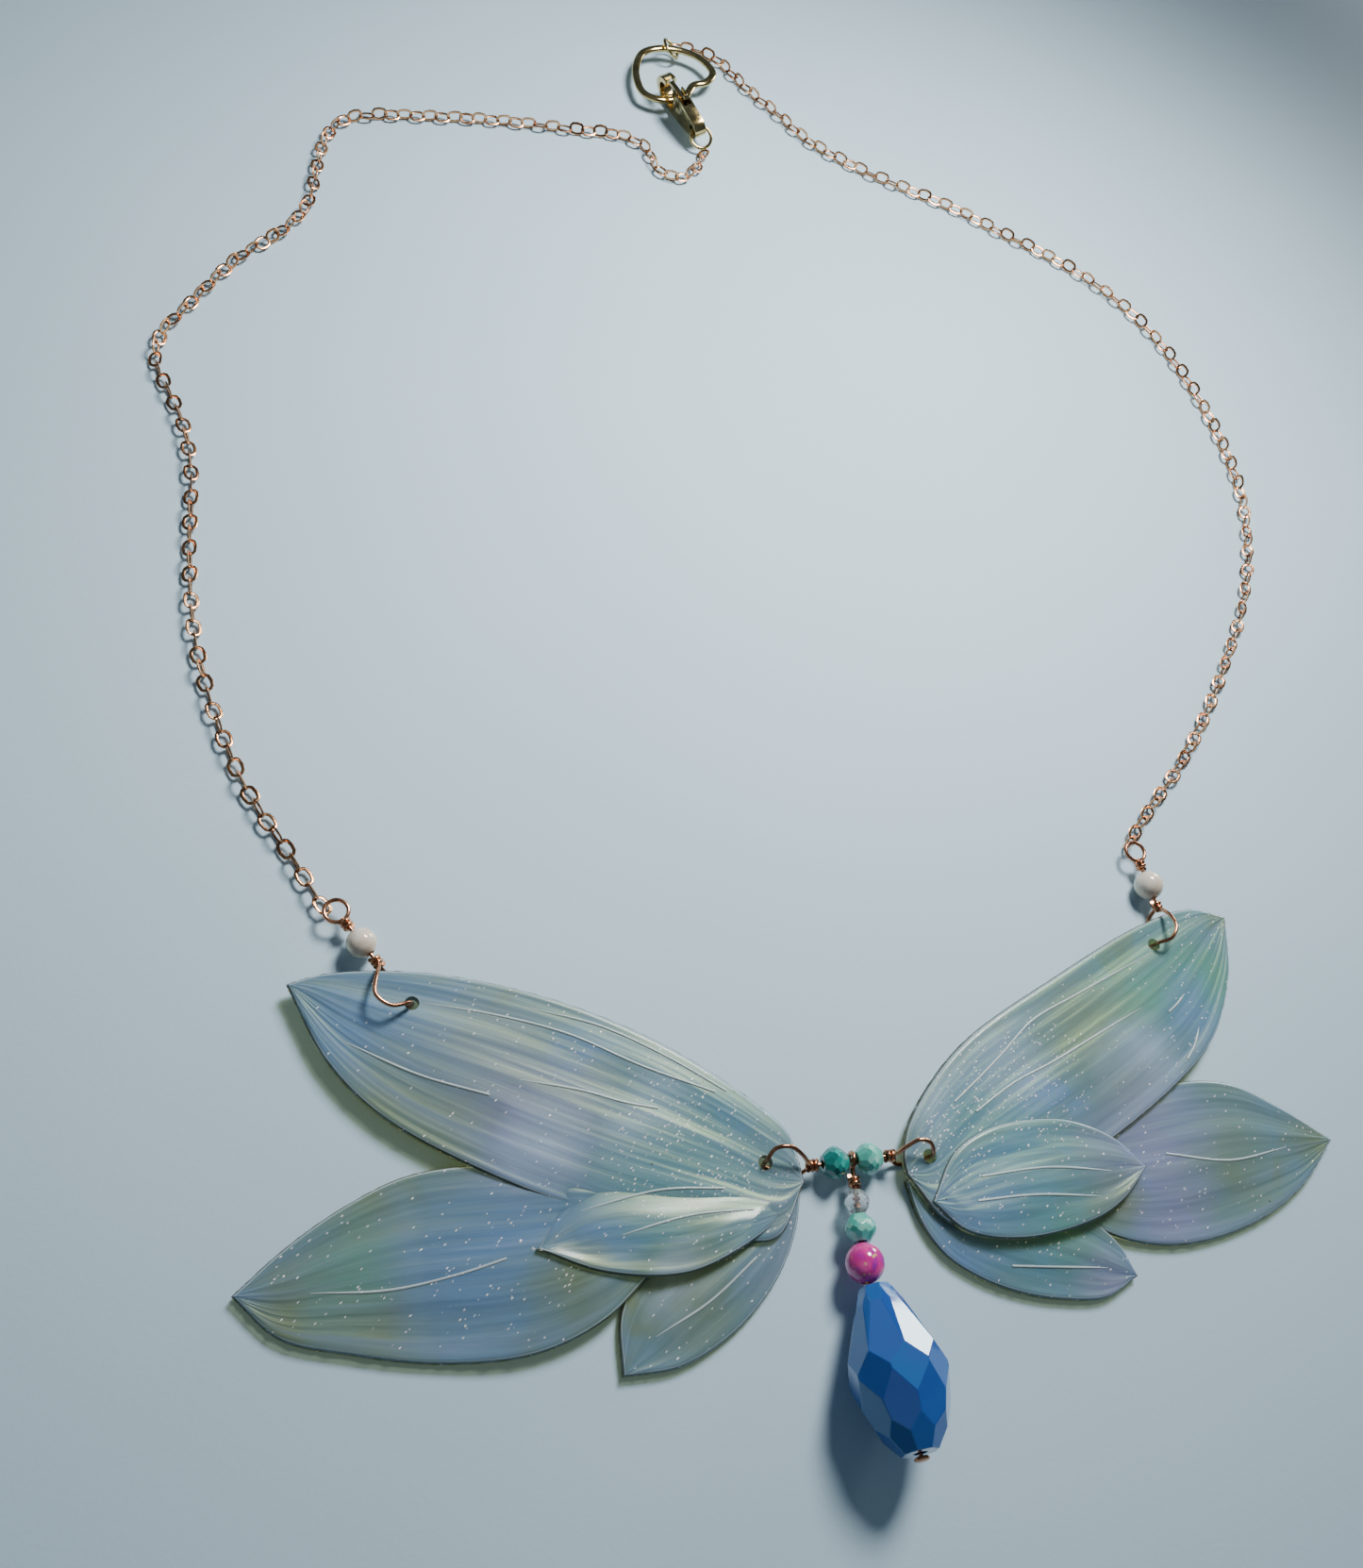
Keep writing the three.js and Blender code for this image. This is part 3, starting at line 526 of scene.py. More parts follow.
# a patch is its colour, the x and y of its middle and its radius in millimetres, and how strong it is
PATCHES = [
    ("lilac", -33, 8, 9, 0.8), ("pearl", -31, 6, 5, 0.8), ("pearl", -21, 6, 5, 0.5),
    ("blue", -47, 18, 11, 0.8), ("olive", -47, 11, 8, 0.8), ("olive", -41, 8, 6, 0.7),
    ("teal", -14, 7, 8, 0.7), ("grey", -37, 15, 8, 0.6), ("olive", -56, -7, 6, 0.9),
    ("olive", -47, -9, 6, 1.0), ("olive", -49, 2, 6, 0.8), ("blue", -39, -5, 10, 0.8),
    ("olive", -30, -10, 5, 0.5), ("green", -50, -4, 5, 0.5), ("teal", -22, -2, 8, 0.8),
    ("blue", -28, -4, 6, 0.7), ("olive", -30, -7, 4, 0.9), ("pearl", -20, -10, 4, 0.8),
    ("olive", -18, -13, 5, 0.7), ("grey", -9, -7, 7, 0.8), ("teal", -14, -3, 7, 0.6),
    ("pearl", -17, 10, 5, 0.4), ("green", 49, 14, 6, 1.0), ("green", 46, 19, 8, 0.5),
    ("green", 39, 14, 7, 0.8), ("olive", 32, 12, 7, 0.7), ("blue", 46, 11, 6, 0.8),
    ("pearl", 37, 6, 6, 0.9), ("olive", 35, 3, 5, 0.6), ("pearl", 18, 7, 8, 0.6),
    ("pearl", 12, 5, 5, 0.9), ("teal", 16, 3, 7, 0.7), ("teal", 19, -2, 8, 0.8),
    ("blue", 15, -6, 6, 0.7), ("olive", 29, -7, 4, 1.0), ("green", 22, -9, 5, 0.6),
    ("lilac", 36, -3, 9, 0.8), ("olive", 45, -7, 7, 0.7), ("olive", 57, -4, 5, 0.9),
    ("olive", 46, 2, 7, 0.4), ("lilac", 36, -11, 6, 0.7), ("blue", 10, -11, 5, 0.8),
    ("teal", 18, -12, 6, 0.6), ("lilac", 27, -15, 4, 0.8),
]
PATCH_HEIGHT = 1.5
print(len(PALETTE), "colours and", len(PATCHES), "patches on the film")


def patched(f, spread):
    """The film's ground colour with its soft patches, one mixed over the next."""
    film = f.ramp(f.noise(75, 3, 0.55, distortion=0.6), [(0.30, PALETTE["olive"]), (0.42, PALETTE["base"]),
                  (0.58, PALETTE["base"]), (0.70, PALETTE["blue"])])
    for colour, x, y, radius, strong in PATCHES:
        near = f.distance(spread, at(x, y, PATCH_HEIGHT))
        share = f.level(near, 0.15 * radius * MM, 1.15 * radius * MM, strong, 0)
        film = f.mixed(share, film, PALETTE[colour])
    return film


# %% Streaks, bands and the rim
def grained(f, film, streaks, bands):
    """Fine streaks and broad bands along the petal, each with a light and a shaded side."""
    film = f.mixed(f.level(streaks, 0.30, 0.52, 0.22, 0.0), film, PALETTE["streak_shade"])
    film = f.mixed(f.level(streaks, 0.54, 0.78, 0.0, 0.30), film, PALETTE["streak_light"])
    film = f.mixed(f.level(bands, 0.52, 0.70, 0, 0.38), film, PALETTE["pearl"])
    return f.mixed(f.level(bands, 0.30, 0.46, 0.40, 0), film, PALETTE["band_shade"])


def edged(f, film):
    """A pale painted highlight just inside the rim and along the veins, and the resin's own colour on the
    rim's wall.
    """
    rim = f.node("ShaderNodeAttribute", {}, output=2, attribute_name="rim")
    # painted highlight: a pale band just inside the rim, and over the whole of each vein
    painted_highlight = f.maths(f.level(rim, 0.25, 0.45), f.level(rim, 0.66, 0.50))
    film = f.mixed(f.maths(painted_highlight, 0.7), film, PALETTE["painted_highlight"])
    return f.mixed(f.level(rim, 0.60, 0.80), film, PALETTE["rim"])


# %% Glitter and specks
GLITTER_CELLS = 5600
CROWDED = ((14, 5), (22, 6), (-18, 5), (-12, -2))


def glitter(f, spread):
    """Where the glitter is: a dot in a few of many slanted cells, and in more of them where it is crowded."""
    slanted = f.node("ShaderNodeMapping", {"Vector": f.place, "Rotation": (0, 0, 0.6), "Scale": (2.2, 1, 1)},
                     vector_type="TEXTURE")
    picked = f.node("ShaderNodeSeparateColor", {0: f.cells(GLITTER_CELLS, 1, slanted)})
    rare = f.level(f.noise(120, 2), 0.42, 0.72, 0.991, 0.905)
    for x, y in CROWDED:
        near = f.distance(spread, at(x, y, PATCH_HEIGHT))
        rare = f.maths(rare, f.level(near, 2 * MM, 9 * MM, 0.86, 1.0))
    dots = f.maths(f.cells(GLITTER_CELLS, 0, slanted), 0.40, "LESS_THAN")
    dots = f.maths(f.maths(picked, rare, "GREATER_THAN"), dots)
    return f.maths(dots, f.level(f.noise(1900, 2), 0.35, 0.65, 0.15, 1.0))


def specked(f, film):
    """A few dark specks of dust that were caught in the resin."""
    dots = f.maths(f.cells(520, 0), 0.075, "LESS_THAN")
    specks = f.maths(dots, f.maths(f.noise(140), 0.60, "GREATER_THAN"))
    return f.mixed(f.maths(specks, 0.8), film, PALETTE["speck"])


# %% Put the film's finish together
def film_finish():
    f = Finish("pearly wing film", Roughness=0.34, IOR=1.5, Coat_Weight=0.45, Coat_Roughness=0.20,
               Subsurface_Weight=0.25, Subsurface_Radius=(1.0, 1.0, 0.8), Subsurface_Scale=0.0010,
               Thin_Film_Thickness=430.0, Thin_Film_IOR=1.38)
    drift = f.node("ShaderNodeTexNoise", {"Vector": f.place, "Scale": 110.0, "Detail": 3.0}, output=1)
    drift = f.node("ShaderNodeVectorMath", {0: drift, 1: (0.5, 0.5, 0.5)}, operation="SUBTRACT")
    drift = f.node("ShaderNodeVectorMath", {0: drift, "Scale": 7 * MM}, operation="SCALE")
    spread = f.node("ShaderNodeVectorMath", {0: f.place, 1: drift}, operation="ADD")
    along = f.node("ShaderNodeUVMap", {}, uv_map="petal")
    streaks = f.noise(1.0, 5, 0.65, source=f.stretched(along, (3.0, 30, 1)), distortion=0.35)
    bands = f.noise(1.0, 3, 0.5, source=f.stretched(along, (1.2, 7, 1)), distortion=0.5)
    film = edged(f, grained(f, patched(f, spread), streaks, bands))
    film = f.mixed(0.27, film, PALETTE["depth"])
    dots = glitter(f, spread)
    film = specked(f, f.mixed(dots, film, PALETTE["glitter"]))
    rough = f.maths(f.level(bands, 0.3, 0.7, 0.44, 0.24), f.level(dots, 0, 1, 1, 0.3))
    waves = f.bump(f.noise(1.0, 2, source=f.stretched(along, (1.5, 7, 1))), 0.0010, 0.4)
    brushed = f.bump(streaks, 0.00007, 0.5, under=waves)
    flakes = f.bump(dots, 0.00012, 0.7, under=brushed)
    f.let_light_through(PALETTE["shadow"])
    return f.wire_up(Base_Color=film, Roughness=rough, Normal=flakes)


wing_film = film_finish()
print("finish:", wing_film.name)

# %% [markdown]
# ## The petals
# A petal is a leaf-shaped sheet about 1.2 mm thick with a rounded rim. It could be extruded from its
# outline, but then its face would be one flat polygon that can't bend. Here a fine grid is laid between
# its two edges, with its rows closer together at the rim, and then doubled for the underside. The
# distance to the outline rounds the rim, and gentle waves along the petal catch the light.

# %% Outlines of the eight petals
# In millimetres from the middle of the necklace, with x counted outwards. A petal is its root, its upper
# edge, its tip and its lower edge, and a vein is a line of points.
LEFT_WING = {
    "side": -1,
    "holes": [(9.0, 0.8), (43.1, 20.8)],
    "lower": ((14.0, -3.0),
              [(30.0, 3.0), (38.9, 4.2), (45.0, 3.9), (51.1, 1.6), (56.3, -1.4)],
              (60.9, -4.9),
              [(56.9, -9.1), (50.8, -11.3), (42.5, -13.3), (34.0, -13.7), (27.3, -11.7), (22.0, -8.0)]),
    "inner": ((5.3, -1.9), [(7.6, -1.1), (12.0, -2.8), (22.0, -6.6), (25.6, -11.2)], (26.2, -16.8),
              [(20.7, -16.8), (16.3, -15.3), (12.4, -12.9), (8.8, -9.4), (6.5, -5.6)]),
    "upper": ((5.2, -1.6),
              [(5.3, 0.6), (5.9, 3.6), (8.8, 7.0), (16.9, 13.7), (28.2, 19.9), (41.1, 24.0), (51.4, 24.8)],
              (55.3, 24.0),
              [(51.8, 15.8), (47.0, 9.9), (38.5, 3.9), (27.0, -2.0), (16.0, -5.4), (9.2, -6.6)]),
    "top": ((7.2, -4.0), [(11.5, -0.3), (17.0, 1.6), (27.6, 1.7)], (33.2, -4.6),
            [(26.9, -7.6), (18.7, -8.7), (11.4, -6.4)]),
    "veins": [
        [(42.8, 21.0), (34.4, 18.7), (27.5, 16.1), (20.3, 12.0), (13.0, 8.5)],
        [(31.7, 19.4), (24.0, 16.6), (17.2, 12.5), (11.8, 8.5)],
        [(33.0, 11.8), (26.9, 10.1), (22.5, 8.4), (19.3, 7.5)],
        [(50.0, 17.5), (43.0, 13.4), (36.2, 10.6)],
        [(24.8, -4.4), (17.6, -3.4), (11.2, -3.6)],
        [(28.5, -1.6), (20.4, -0.6), (13.8, -1.2)],
        [(54.0, -5.6), (47.0, -6.3), (40.6, -5.8), (36.0, -5.0)],
        [(22.6, -13.8), (16.8, -11.4), (11.4, -8.0)],
    ],
}
RIGHT_WING = {
    "side": 1,
    "holes": [(9.0, -0.6), (43.8, 20.4)],
    "lower": ((14.0, -3.0), [(32.0, 3.0), (41.7, 4.3), (48.2, 3.5), (53.5, 0.4)], (59.2, -4.2),
              [(53.5, -8.6), (46.0, -11.7), (36.6, -12.9), (29.5, -11.5), (22.0, -7.0)]),
    "inner": ((6.2, -2.6), [(8.6, -1.6), (13.0, -3.4), (24.0, -7.4), (28.4, -11.4)], (29.8, -15.2),
              [(25.4, -16.8), (20.4, -16.3), (15.8, -15.0), (11.8, -13.0), (8.7, -10.4), (6.9, -7.0)]),
    "upper": ((6.1, -2.2),
              [(6.1, -0.6), (7.2, 2.4), (11.0, 6.9), (17.0, 11.6), (29.4, 17.5), (43.4, 23.2), (50.8, 24.6)],
              (55.0, 23.2),
              [(52.6, 15.8), (47.8, 8.8), (41.7, 4.3), (29.0, -2.0), (17.0, -6.2), (9.8, -7.6)]),
    "top": ((8.0, -5.2),
            [(11.6, -0.6), (15.4, 1.3), (20.1, 2.0), (26.0, 1.4), (31.0, -1.2)],
            (33.6, -4.6), [(29.8, -7.6), (25.5, -9.3), (17.2, -10.1), (11.0, -8.6)]),
    "veins": [
        [(43.8, 19.7), (31.9, 15.3), (25.1, 12.7), (20.6, 9.5), (16.9, 7.0), (13.3, 4.7)],
        [(39.3, 12.9), (32.8, 10.4), (26.4, 7.9), (20.8, 6.0), (15.5, 3.4)],
        [(45.6, 14.1), (44.2, 13.0), (42.7, 12.1)],
        [(46.1, 10.0), (44.7, 8.0), (43.2, 6.5)],
        [(29.0, -4.6), (21.6, -3.4), (14.0, -3.4)],
        [(27.0, -7.0), (19.4, -6.0), (12.8, -5.8)],
        [(52.6, -4.4), (44.8, -5.0), (37.2, -3.4)],
        [(26.4, -14.0), (20.8, -13.2), (15.6, -12.4)],
    ],
}
print(len(LEFT_WING["veins"]), "veins on the left wing and", len(RIGHT_WING["veins"]), "on the right one")

# %% How the petals lie
# In millimetres: each layer's height, how far the top petal's root and upper side sink into the wing, and
# how far the lower petal climbs under it. A reach is a share of the petal's length, from its root.
LIFTS = {"lower": 0.0, "inner": 0.0, "upper": 1.0, "top": 1.8}
BURIED = {"left_wing": 1.0, "right_wing": 0.45}
CLIMB = {"left_wing": 0.9, "right_wing": 0.0}
BURIED_REACH = 0.25
CLIMB_REACH = 0.62
CLIMB_SLOPE = 0.3
PETAL_THICK = 1.25
RIM_ROUND = 0.42
ROWS = 132
COLUMNS = 40
MAP_WIDTH = 20 * MM
print(len(LIFTS), "petals in each wing, the highest", LIFTS["top"] + PETAL_THICK, "mm up at its top")


# %% One petal
def eased(t):
    """From -1 to 1 on the grid to 0 to 1 on the petal, with the steps closer together at both ends."""
    return (1 - math.cos(math.pi * (t + 1) / 2)) / 2


def roundness(near):
    """How much of its thickness the petal has, from 0 at its outline to 1 past the rounded rim."""
    return math.sqrt(max(1 - (1 - min(near, 1)) ** 2, 0))


def relief(u, w, lift, near):
    """Gentle waves across the petal and a low crown down its middle, in millimetres."""
    wave = 0.10 * math.sin(9 * w + 5 * u) + 0.03 * math.sin(19 * w - 7 * u + lift)
    crown = 0.22 * math.sin(math.pi * w) * math.sin(math.pi * min(u * 1.2, 1))
    return (wave + crown) * min(near / 6, 1)


def petal_grid(wide):
    """A flat grid with the petal's own map: u runs from root to tip, and v across it."""
    bm = bmesh.new()
    bmesh.ops.create_grid(bm, x_segments=ROWS, y_segments=COLUMNS, size=1.0)
    uv = bm.loops.layers.uv.new("petal")
    for face in bm.faces:
        for loop in face.loops:
            loop[uv].uv = (eased(loop.vert.co.x), eased(loop.vert.co.y) * wide / MAP_WIDTH)
    return bm


def petal(side, plan, lift, buried=0.0, climb=0.0):
    """A closed, rounded leaf with its map, and with its rim marked."""
    root, over, tip, under = plan
    ways = [[at(side * x, y) for x, y in (root, *way, tip)] for way in (over, list(reversed(under)))]
    edges = [walk(smooth(way), 400) for way in ways]
    outline = KDTree(2 * len(edges[0]))
    for i, p in enumerate(edges[0] + edges[1]):
        outline.insert(p, i)
    outline.balance()
    bm = petal_grid(max((a - b).length for a, b in zip(*edges)))
    rim = bm.verts.layers.float.new("rim")
    for v in bm.verts:
        u, w = eased(v.co.x), eased(v.co.y)
        step = u * (len(edges[0]) - 1)
        i = min(int(step), len(edges[0]) - 2)
        top, bottom = (way[i].lerp(way[i + 1], step - i) for way in edges)
        v.co = top.lerp(bottom, w)
        near = outline.find(v.co)[2] / (RIM_ROUND * MM)
        sunk = buried * max(1 - w, 1 - u / BURIED_REACH)
        sunk -= climb * min(max((CLIMB_REACH - u) / CLIMB_SLOPE, 0), 1)
        # the rim mark gives the resin's own colour on the wall and the painted highlight just inside it
        v[rim] = max(1 - near, 0.0)
        v.co.z = (PETAL_THICK / 2 * roundness(near) + relief(u, w, lift, near) - sunk) * MM
    add_underside(bm, rim, buried)
    bmesh.ops.translate(bm, verts=bm.verts, vec=(0, 0, (lift + PETAL_THICK / 2) * MM))
    bmesh.ops.recalc_face_normals(bm, faces=bm.faces)
    return bm


def add_underside(bm, rim, buried):
    """A second sheet, one thickness below the first, that meets it at the outline."""
    below = bmesh.ops.duplicate(bm, geom=bm.faces[:])["geom"]
    below_faces = [g for g in below if isinstance(g, bmesh.types.BMFace)]
    for v in {v for face in below_faces for v in face.verts}:
        deep = PETAL_THICK * roundness(1 - v[rim]) * MM
        v.co.z = max(v.co.z - deep, -(PETAL_THICK / 2 + buried) * MM)
    bmesh.ops.reverse_faces(bm, faces=below_faces)
    bmesh.ops.remove_doubles(bm, verts=bm.verts, dist=0.002 * MM)


# %% [markdown]
# ## Putting a wing together
# The four petals overlap and are fused. Two holes are drilled through the long upper petal with a
# Boolean modifier, as a jeweller drills them for the wire. The veins are thin raised lines that taper
# towards the tip, so each is a slender tube that lies half sunk in whichever petal is on top there.

# %% Drill the holes
HOLE_RADIUS = 0.76 * MM
DRILL_LENGTH = 12 * MM
print("each hole is", round(2 * HOLE_RADIUS / MM, 2), "mm across")


def drilled(bm, places):
    """The petal with a hole at each place."""
    whole = shown("petal", as_mesh(bm, "petal"))
    drill = bmesh.new()
    for x, y in places:
        bmesh.ops.create_cone(drill, cap_ends=True, segments=32, radius1=HOLE_RADIUS, radius2=HOLE_RADIUS,
                              depth=DRILL_LENGTH, matrix=Matrix.Translation(at(x, y)))
    tool = shown("drill", as_mesh(drill, "drill"))
    cut = whole.modifiers.new("holes", "BOOLEAN")
    cut.operation = "DIFFERENCE"
    cut.object = tool
    cut.solver = "EXACT"
    made = whole.evaluated_get(bpy.context.evaluated_depsgraph_get()).to_mesh()
    bm = bmesh.new()
    bm.from_mesh(made)
    for mesh in (whole.data, tool.data):
        bpy.data.meshes.remove(mesh)
    return bm


# %% Join petals and veins
VEIN_RADIUS = 0.16 * MM
VEIN_SINK = 0.04 * MM
# the rim value on each vein, which paints the whole vein with the pale painted highlight
VEIN_PAINTED_HIGHLIGHT = 0.47


def pour(part, whole):
    """Adds one bmesh to another and frees it."""
    mesh = as_mesh(part, "part")
    whole.from_mesh(mesh)
    bpy.data.meshes.remove(mesh)


def veins_on(surface, plan):
    """Each vein is drawn above the wing and dropped on to whatever petal lies below it."""
    veins = bmesh.new()
    painted_highlight_mark = veins.verts.layers.float.new("rim")
    for places in plan["veins"]:
        line = []
        for p in walk(smooth([at(plan["side"] * x, y, 20) for x, y in places]), 40):
            hit = surface.ray_cast(p, Vector((0, 0, -1)))[0]
            if hit:
                line.append(hit - Vector((0, 0, VEIN_SINK)))
        radii = [VEIN_RADIUS * (0.25 + 0.75 * math.sin(math.pi * min((i + 1) / 30, 0.62)))
                 for i in range(len(line))]
        sweep(veins, line, radii, sides=8)
    # this mark paints the vein with the pale highlight, a painted stand-in for light along it
    for v in veins.verts:
        v[painted_highlight_mark] = VEIN_PAINTED_HIGHLIGHT
    return veins


def wing(name, plan):
    whole = bmesh.new()
    for layer, lift in LIFTS.items():
        buried = BURIED[name] if layer == "top" else 0.0
        climb = CLIMB[name] if layer == "lower" else 0.0
        leaf = petal(plan["side"], plan[layer], lift, buried, climb)
        if layer == "upper":
            leaf = drilled(leaf, [(plan["side"] * x, y) for x, y in plan["holes"]])
        pour(leaf, whole)
    pour(veins_on(BVHTree.FromBMesh(whole), plan), whole)
    finished(whole, name + "_film", wing_film, name, [name], 50)


for name, plan in (("left_wing", LEFT_WING), ("right_wing", RIGHT_WING)):
    wing(name, plan)

# %% [markdown]
# ## The wire
# Every link is bent from 0.45 mm wire: an open loop goes over the film, down through its hole and back
# underneath, and the tail is wrapped two and a half turns round the stem. The loops are swept tubes, and
# the wraps are swept along a helix, so that light breaks on every turn as it does on the real ones.

# %% Stems, wraps and loops
WIRE = 0.45 * MM
COIL_TURNS = 2.5
COIL_LENGTH = (COIL_TURNS + 1) * WIRE
WRAP_RADIUS = 0.98 * WIRE
WRAP_STEPS = 56
WIRE_SIDES = 12
print("each wrap is", round(COIL_LENGTH / MM, 2), "mm long")


def aimed(origin, aim):
    """Z along the aim and X level, which is how every bead and link here is set."""
    z = aim.normalized()
    x = z.cross(Vector((0, 0, 1))).normalized()
    y = z.cross(x)
    return Matrix.Translation(origin) @ Matrix((x, y, z)).transposed().to_4x4()


def wrap(bm, place, start):
    """Turns of wire round the stem, from start metres along the place's Z."""
    line = []
    for i in range(WRAP_STEPS + 1):
        turns = COIL_TURNS * i / WRAP_STEPS
        angle = turns * math.tau
        line.append(place @ Vector((WRAP_RADIUS * math.cos(angle), WRAP_RADIUS * math.sin(angle),
                                    start + WIRE / 2 + turns * WIRE)))
    sweep(bm, line, WIRE / 2, WIRE_SIDES)


def stem(bm, place, start, end, steps=12):
    line = [place @ Vector((0, 0, start + (end - start) * i / steps)) for i in range(steps + 1)]
    sweep(bm, line, WIRE / 2, WIRE_SIDES)


def round_loop(bm, centre, axis, radius, thick, steps=40):
    """A closed ring of round wire."""
    flat = abs(axis.normalized().z) > 0.99
    basis = Matrix.Translation(centre) if flat else aimed(centre, axis)
    angles = [math.tau * i / steps for i in range(steps)]
    line = [basis @ Vector((radius * math.cos(angle), radius * math.sin(angle), 0)) for angle in angles]
    sweep(bm, line, thick, WIRE_SIDES, closed=True)


# %% The open loops that hold the wings
DIP = 0.325 * MM
FILM_MIDDLE = 1.625 * MM
FILM_TOP = 2.25 * MM


def hook(bm, start, hole, rise, lean, dip_lean):
    """The open loop from the end of a wrap, over the film, through its hole and back below it."""
    along = Vector((hole.x - start.x, hole.y - start.y, 0))
    aside = Vector((-along.y, along.x, 0)).normalized()
    rise, lean, dip_lean = rise * MM, lean * MM, dip_lean * MM
    climb = rise - start.z
    # each stop is its share of the way to the hole, how far it leans aside and its height
    stops = [
        (-0.06, 0, start.z), (0.07, lean * 0.1, start.z + climb * 0.3),
        (0.25, lean * 0.5, start.z + climb * 0.72), (0.56, lean, rise),
        (0.88, lean * 0.8, rise - climb * 0.08), (1.01, lean * 0.1, FILM_TOP + 0.95 * MM),
        (1.0, 0, FILM_MIDDLE), (0.95, 0, DIP + 0.2 * MM), (0.78, dip_lean * 0.4, DIP),
        (0.42, dip_lean, DIP), (0.2, dip_lean, DIP + 0.1 * MM),
        (0.04, dip_lean * 0.4, start.z - 0.8 * MM), (-0.06, 0, start.z - 0.1 * MM),
    ]
    points = []
    for share, off, z in stops:
        spot = start + along * share + aside * off
        points.append(Vector((spot.x, spot.y, z)))
    sweep(bm, walk(smooth(points, 10), 90), WIRE / 2, WIRE_SIDES)


# %% The connector between the wings
CONNECTOR_COIL = 3.525 * MM
CONNECTOR_END = CONNECTOR_COIL + COIL_LENGTH - WIRE
# a hook's height, and how far its top and its lower leg lean aside, in millimetres
HOOKS = {-1: (4.3, -1.3, 0.7), 1: (4.2, 1.2, -0.5)}

bm = bmesh.new()
across = aimed(CONNECTOR, Vector((1, 0, 0)))
stem(bm, across, -CONNECTOR_END, CONNECTOR_END)
for side, plan in ((-1, LEFT_WING), (1, RIGHT_WING)):
    wrap(bm, across, CONNECTOR_COIL if side > 0 else -CONNECTOR_COIL - COIL_LENGTH)
    x, y = plan["holes"][0]
    hook(bm, across @ Vector((0, 0, side * CONNECTOR_END)), at(side * x, y), *HOOKS[side])
finished(bm, "connector_bent_wire", rose_wire, "necklace", ["connector_wire"])

# %% The two pearl links
PEARLS = {"left": (3.2 * MM, LEFT_WING, (4.4, -2.7, 0.3)), "right": (3.5 * MM, RIGHT_WING, (4.3, 1.4, -0.3))}
PEARL_GAP = 0.21 * MM
LINK_LOOP = 2.5 * MM

for name, (diameter, plan, bend) in PEARLS.items():
    place = aimed(HINGES[name + "_pearl_spin"], AXES[name + "_pearl_spin"])
    gap = diameter / 2 + PEARL_GAP
    end = gap + COIL_LENGTH - WIRE
    bm = bmesh.new()
    stem(bm, place, -end - WIRE, end)
    wrap(bm, place, gap)
    wrap(bm, place, -gap - COIL_LENGTH)
    round_loop(bm, place @ Vector((0, 0, -gap - COIL_LENGTH - LINK_LOOP / 2 + WIRE / 2)), Vector((0, 0, 1)),
               LINK_LOOP / 2, WIRE / 2)
    x, y = plan["holes"][1]
    hook(bm, place @ Vector((0, 0, end)), at(plan["side"] * x, y), *bend)
    finished(bm, name + "_pearl_bent_wire", rose_wire, "necklace", [name + "_pearl_wire"])

# %% [markdown]
# ## The drop
# The drop hangs on a head pin: one wire from an eye on the connector through four beads to a flat head.
# The pin bends a little between the round bead and the teardrop. Each bead turns on it, so each bead is
# a piece of its own, and the pin is another.

# %% The head pin
EYE_RADIUS = 0.8 * MM
UPPER_AIM = AXES["clear_bead_spin"]
LOWER_AIM = AXES["teardrop_spin"]
TEARDROP_LENGTH = 15.2 * MM
TEARDROP_RADIUS = 4.95 * MM
PIN_COIL = 1.385 * MM
PIN_BEND = 1.86 * MM
PIN_HEAD = [(0, -0.02), (0.6, 0), (0.75, 0.1), (0.72, 0.3), (0.5, 0.4), (0, 0.42)]
tear_place = aimed(HINGES["teardrop_spin"], LOWER_AIM)
opal_middle = HINGES["opal_bead_spin"]
pin_end = TEARDROP_LENGTH + 0.3 * MM

bm = bmesh.new()
upper = aimed(CONNECTOR, UPPER_AIM)
round_loop(bm, CONNECTOR, Vector((1, -0.125, 0)), EYE_RADIUS, WIRE / 2)
way = [CONNECTOR + UPPER_AIM * EYE_RADIUS, HINGES["clear_bead_spin"], opal_middle,
       opal_middle + UPPER_AIM * PIN_BEND, tear_place @ Vector((0, 0, 0.2 * MM)),
       tear_place @ Vector((0, 0, TEARDROP_LENGTH / 2)), tear_place @ Vector((0, 0, pin_end))]
sweep(bm, walk(smooth(way), 60), WIRE / 2, WIRE_SIDES)
wrap(bm, upper, PIN_COIL)
turned(bm, [(r * MM, pin_end + z * MM) for r, z in PIN_HEAD], tear_place, 24)
finished(bm, "drop_head_pin", rose_wire, "drop", ["drop_pin"])

# %% [markdown]
# ## Bead finishes
# The rondelles and the small beads are pressed and fire-polished glass. Fire polishing leaves each facet
# a little different, so each facet carries a random number that shifts its colour. The large teardrop
# has a rainbow coating, which shows as violet, green and pale facets beside the deep blue ones.

# %% Glass, opal and pearl
def glass(name, stops, roughness=0.08, cloud=0.35, scale=500, **sockets):
    f = Finish(name, Roughness=roughness, Coat_Weight=0.7, Coat_Roughness=0.04, **sockets)
    facet = f.node("ShaderNodeAttribute", {}, output=2, attribute_name="facet")
    drift = f.noise(scale, 3, 0.55)
    share = f.maths(f.maths(facet, 1 - cloud), f.maths(drift, cloud), "ADD")
    colour = f.ramp(share, stops)
    rough = f.level(f.noise(scale * 3, 2), 0.3, 0.7, roughness * 0.7, roughness * 1.6)
    dimple = f.bump(f.noise(scale * 1.5, 2), 0.0001, 0.25)
    return f.wire_up(Base_Color=colour, Roughness=rough, Normal=dimple)


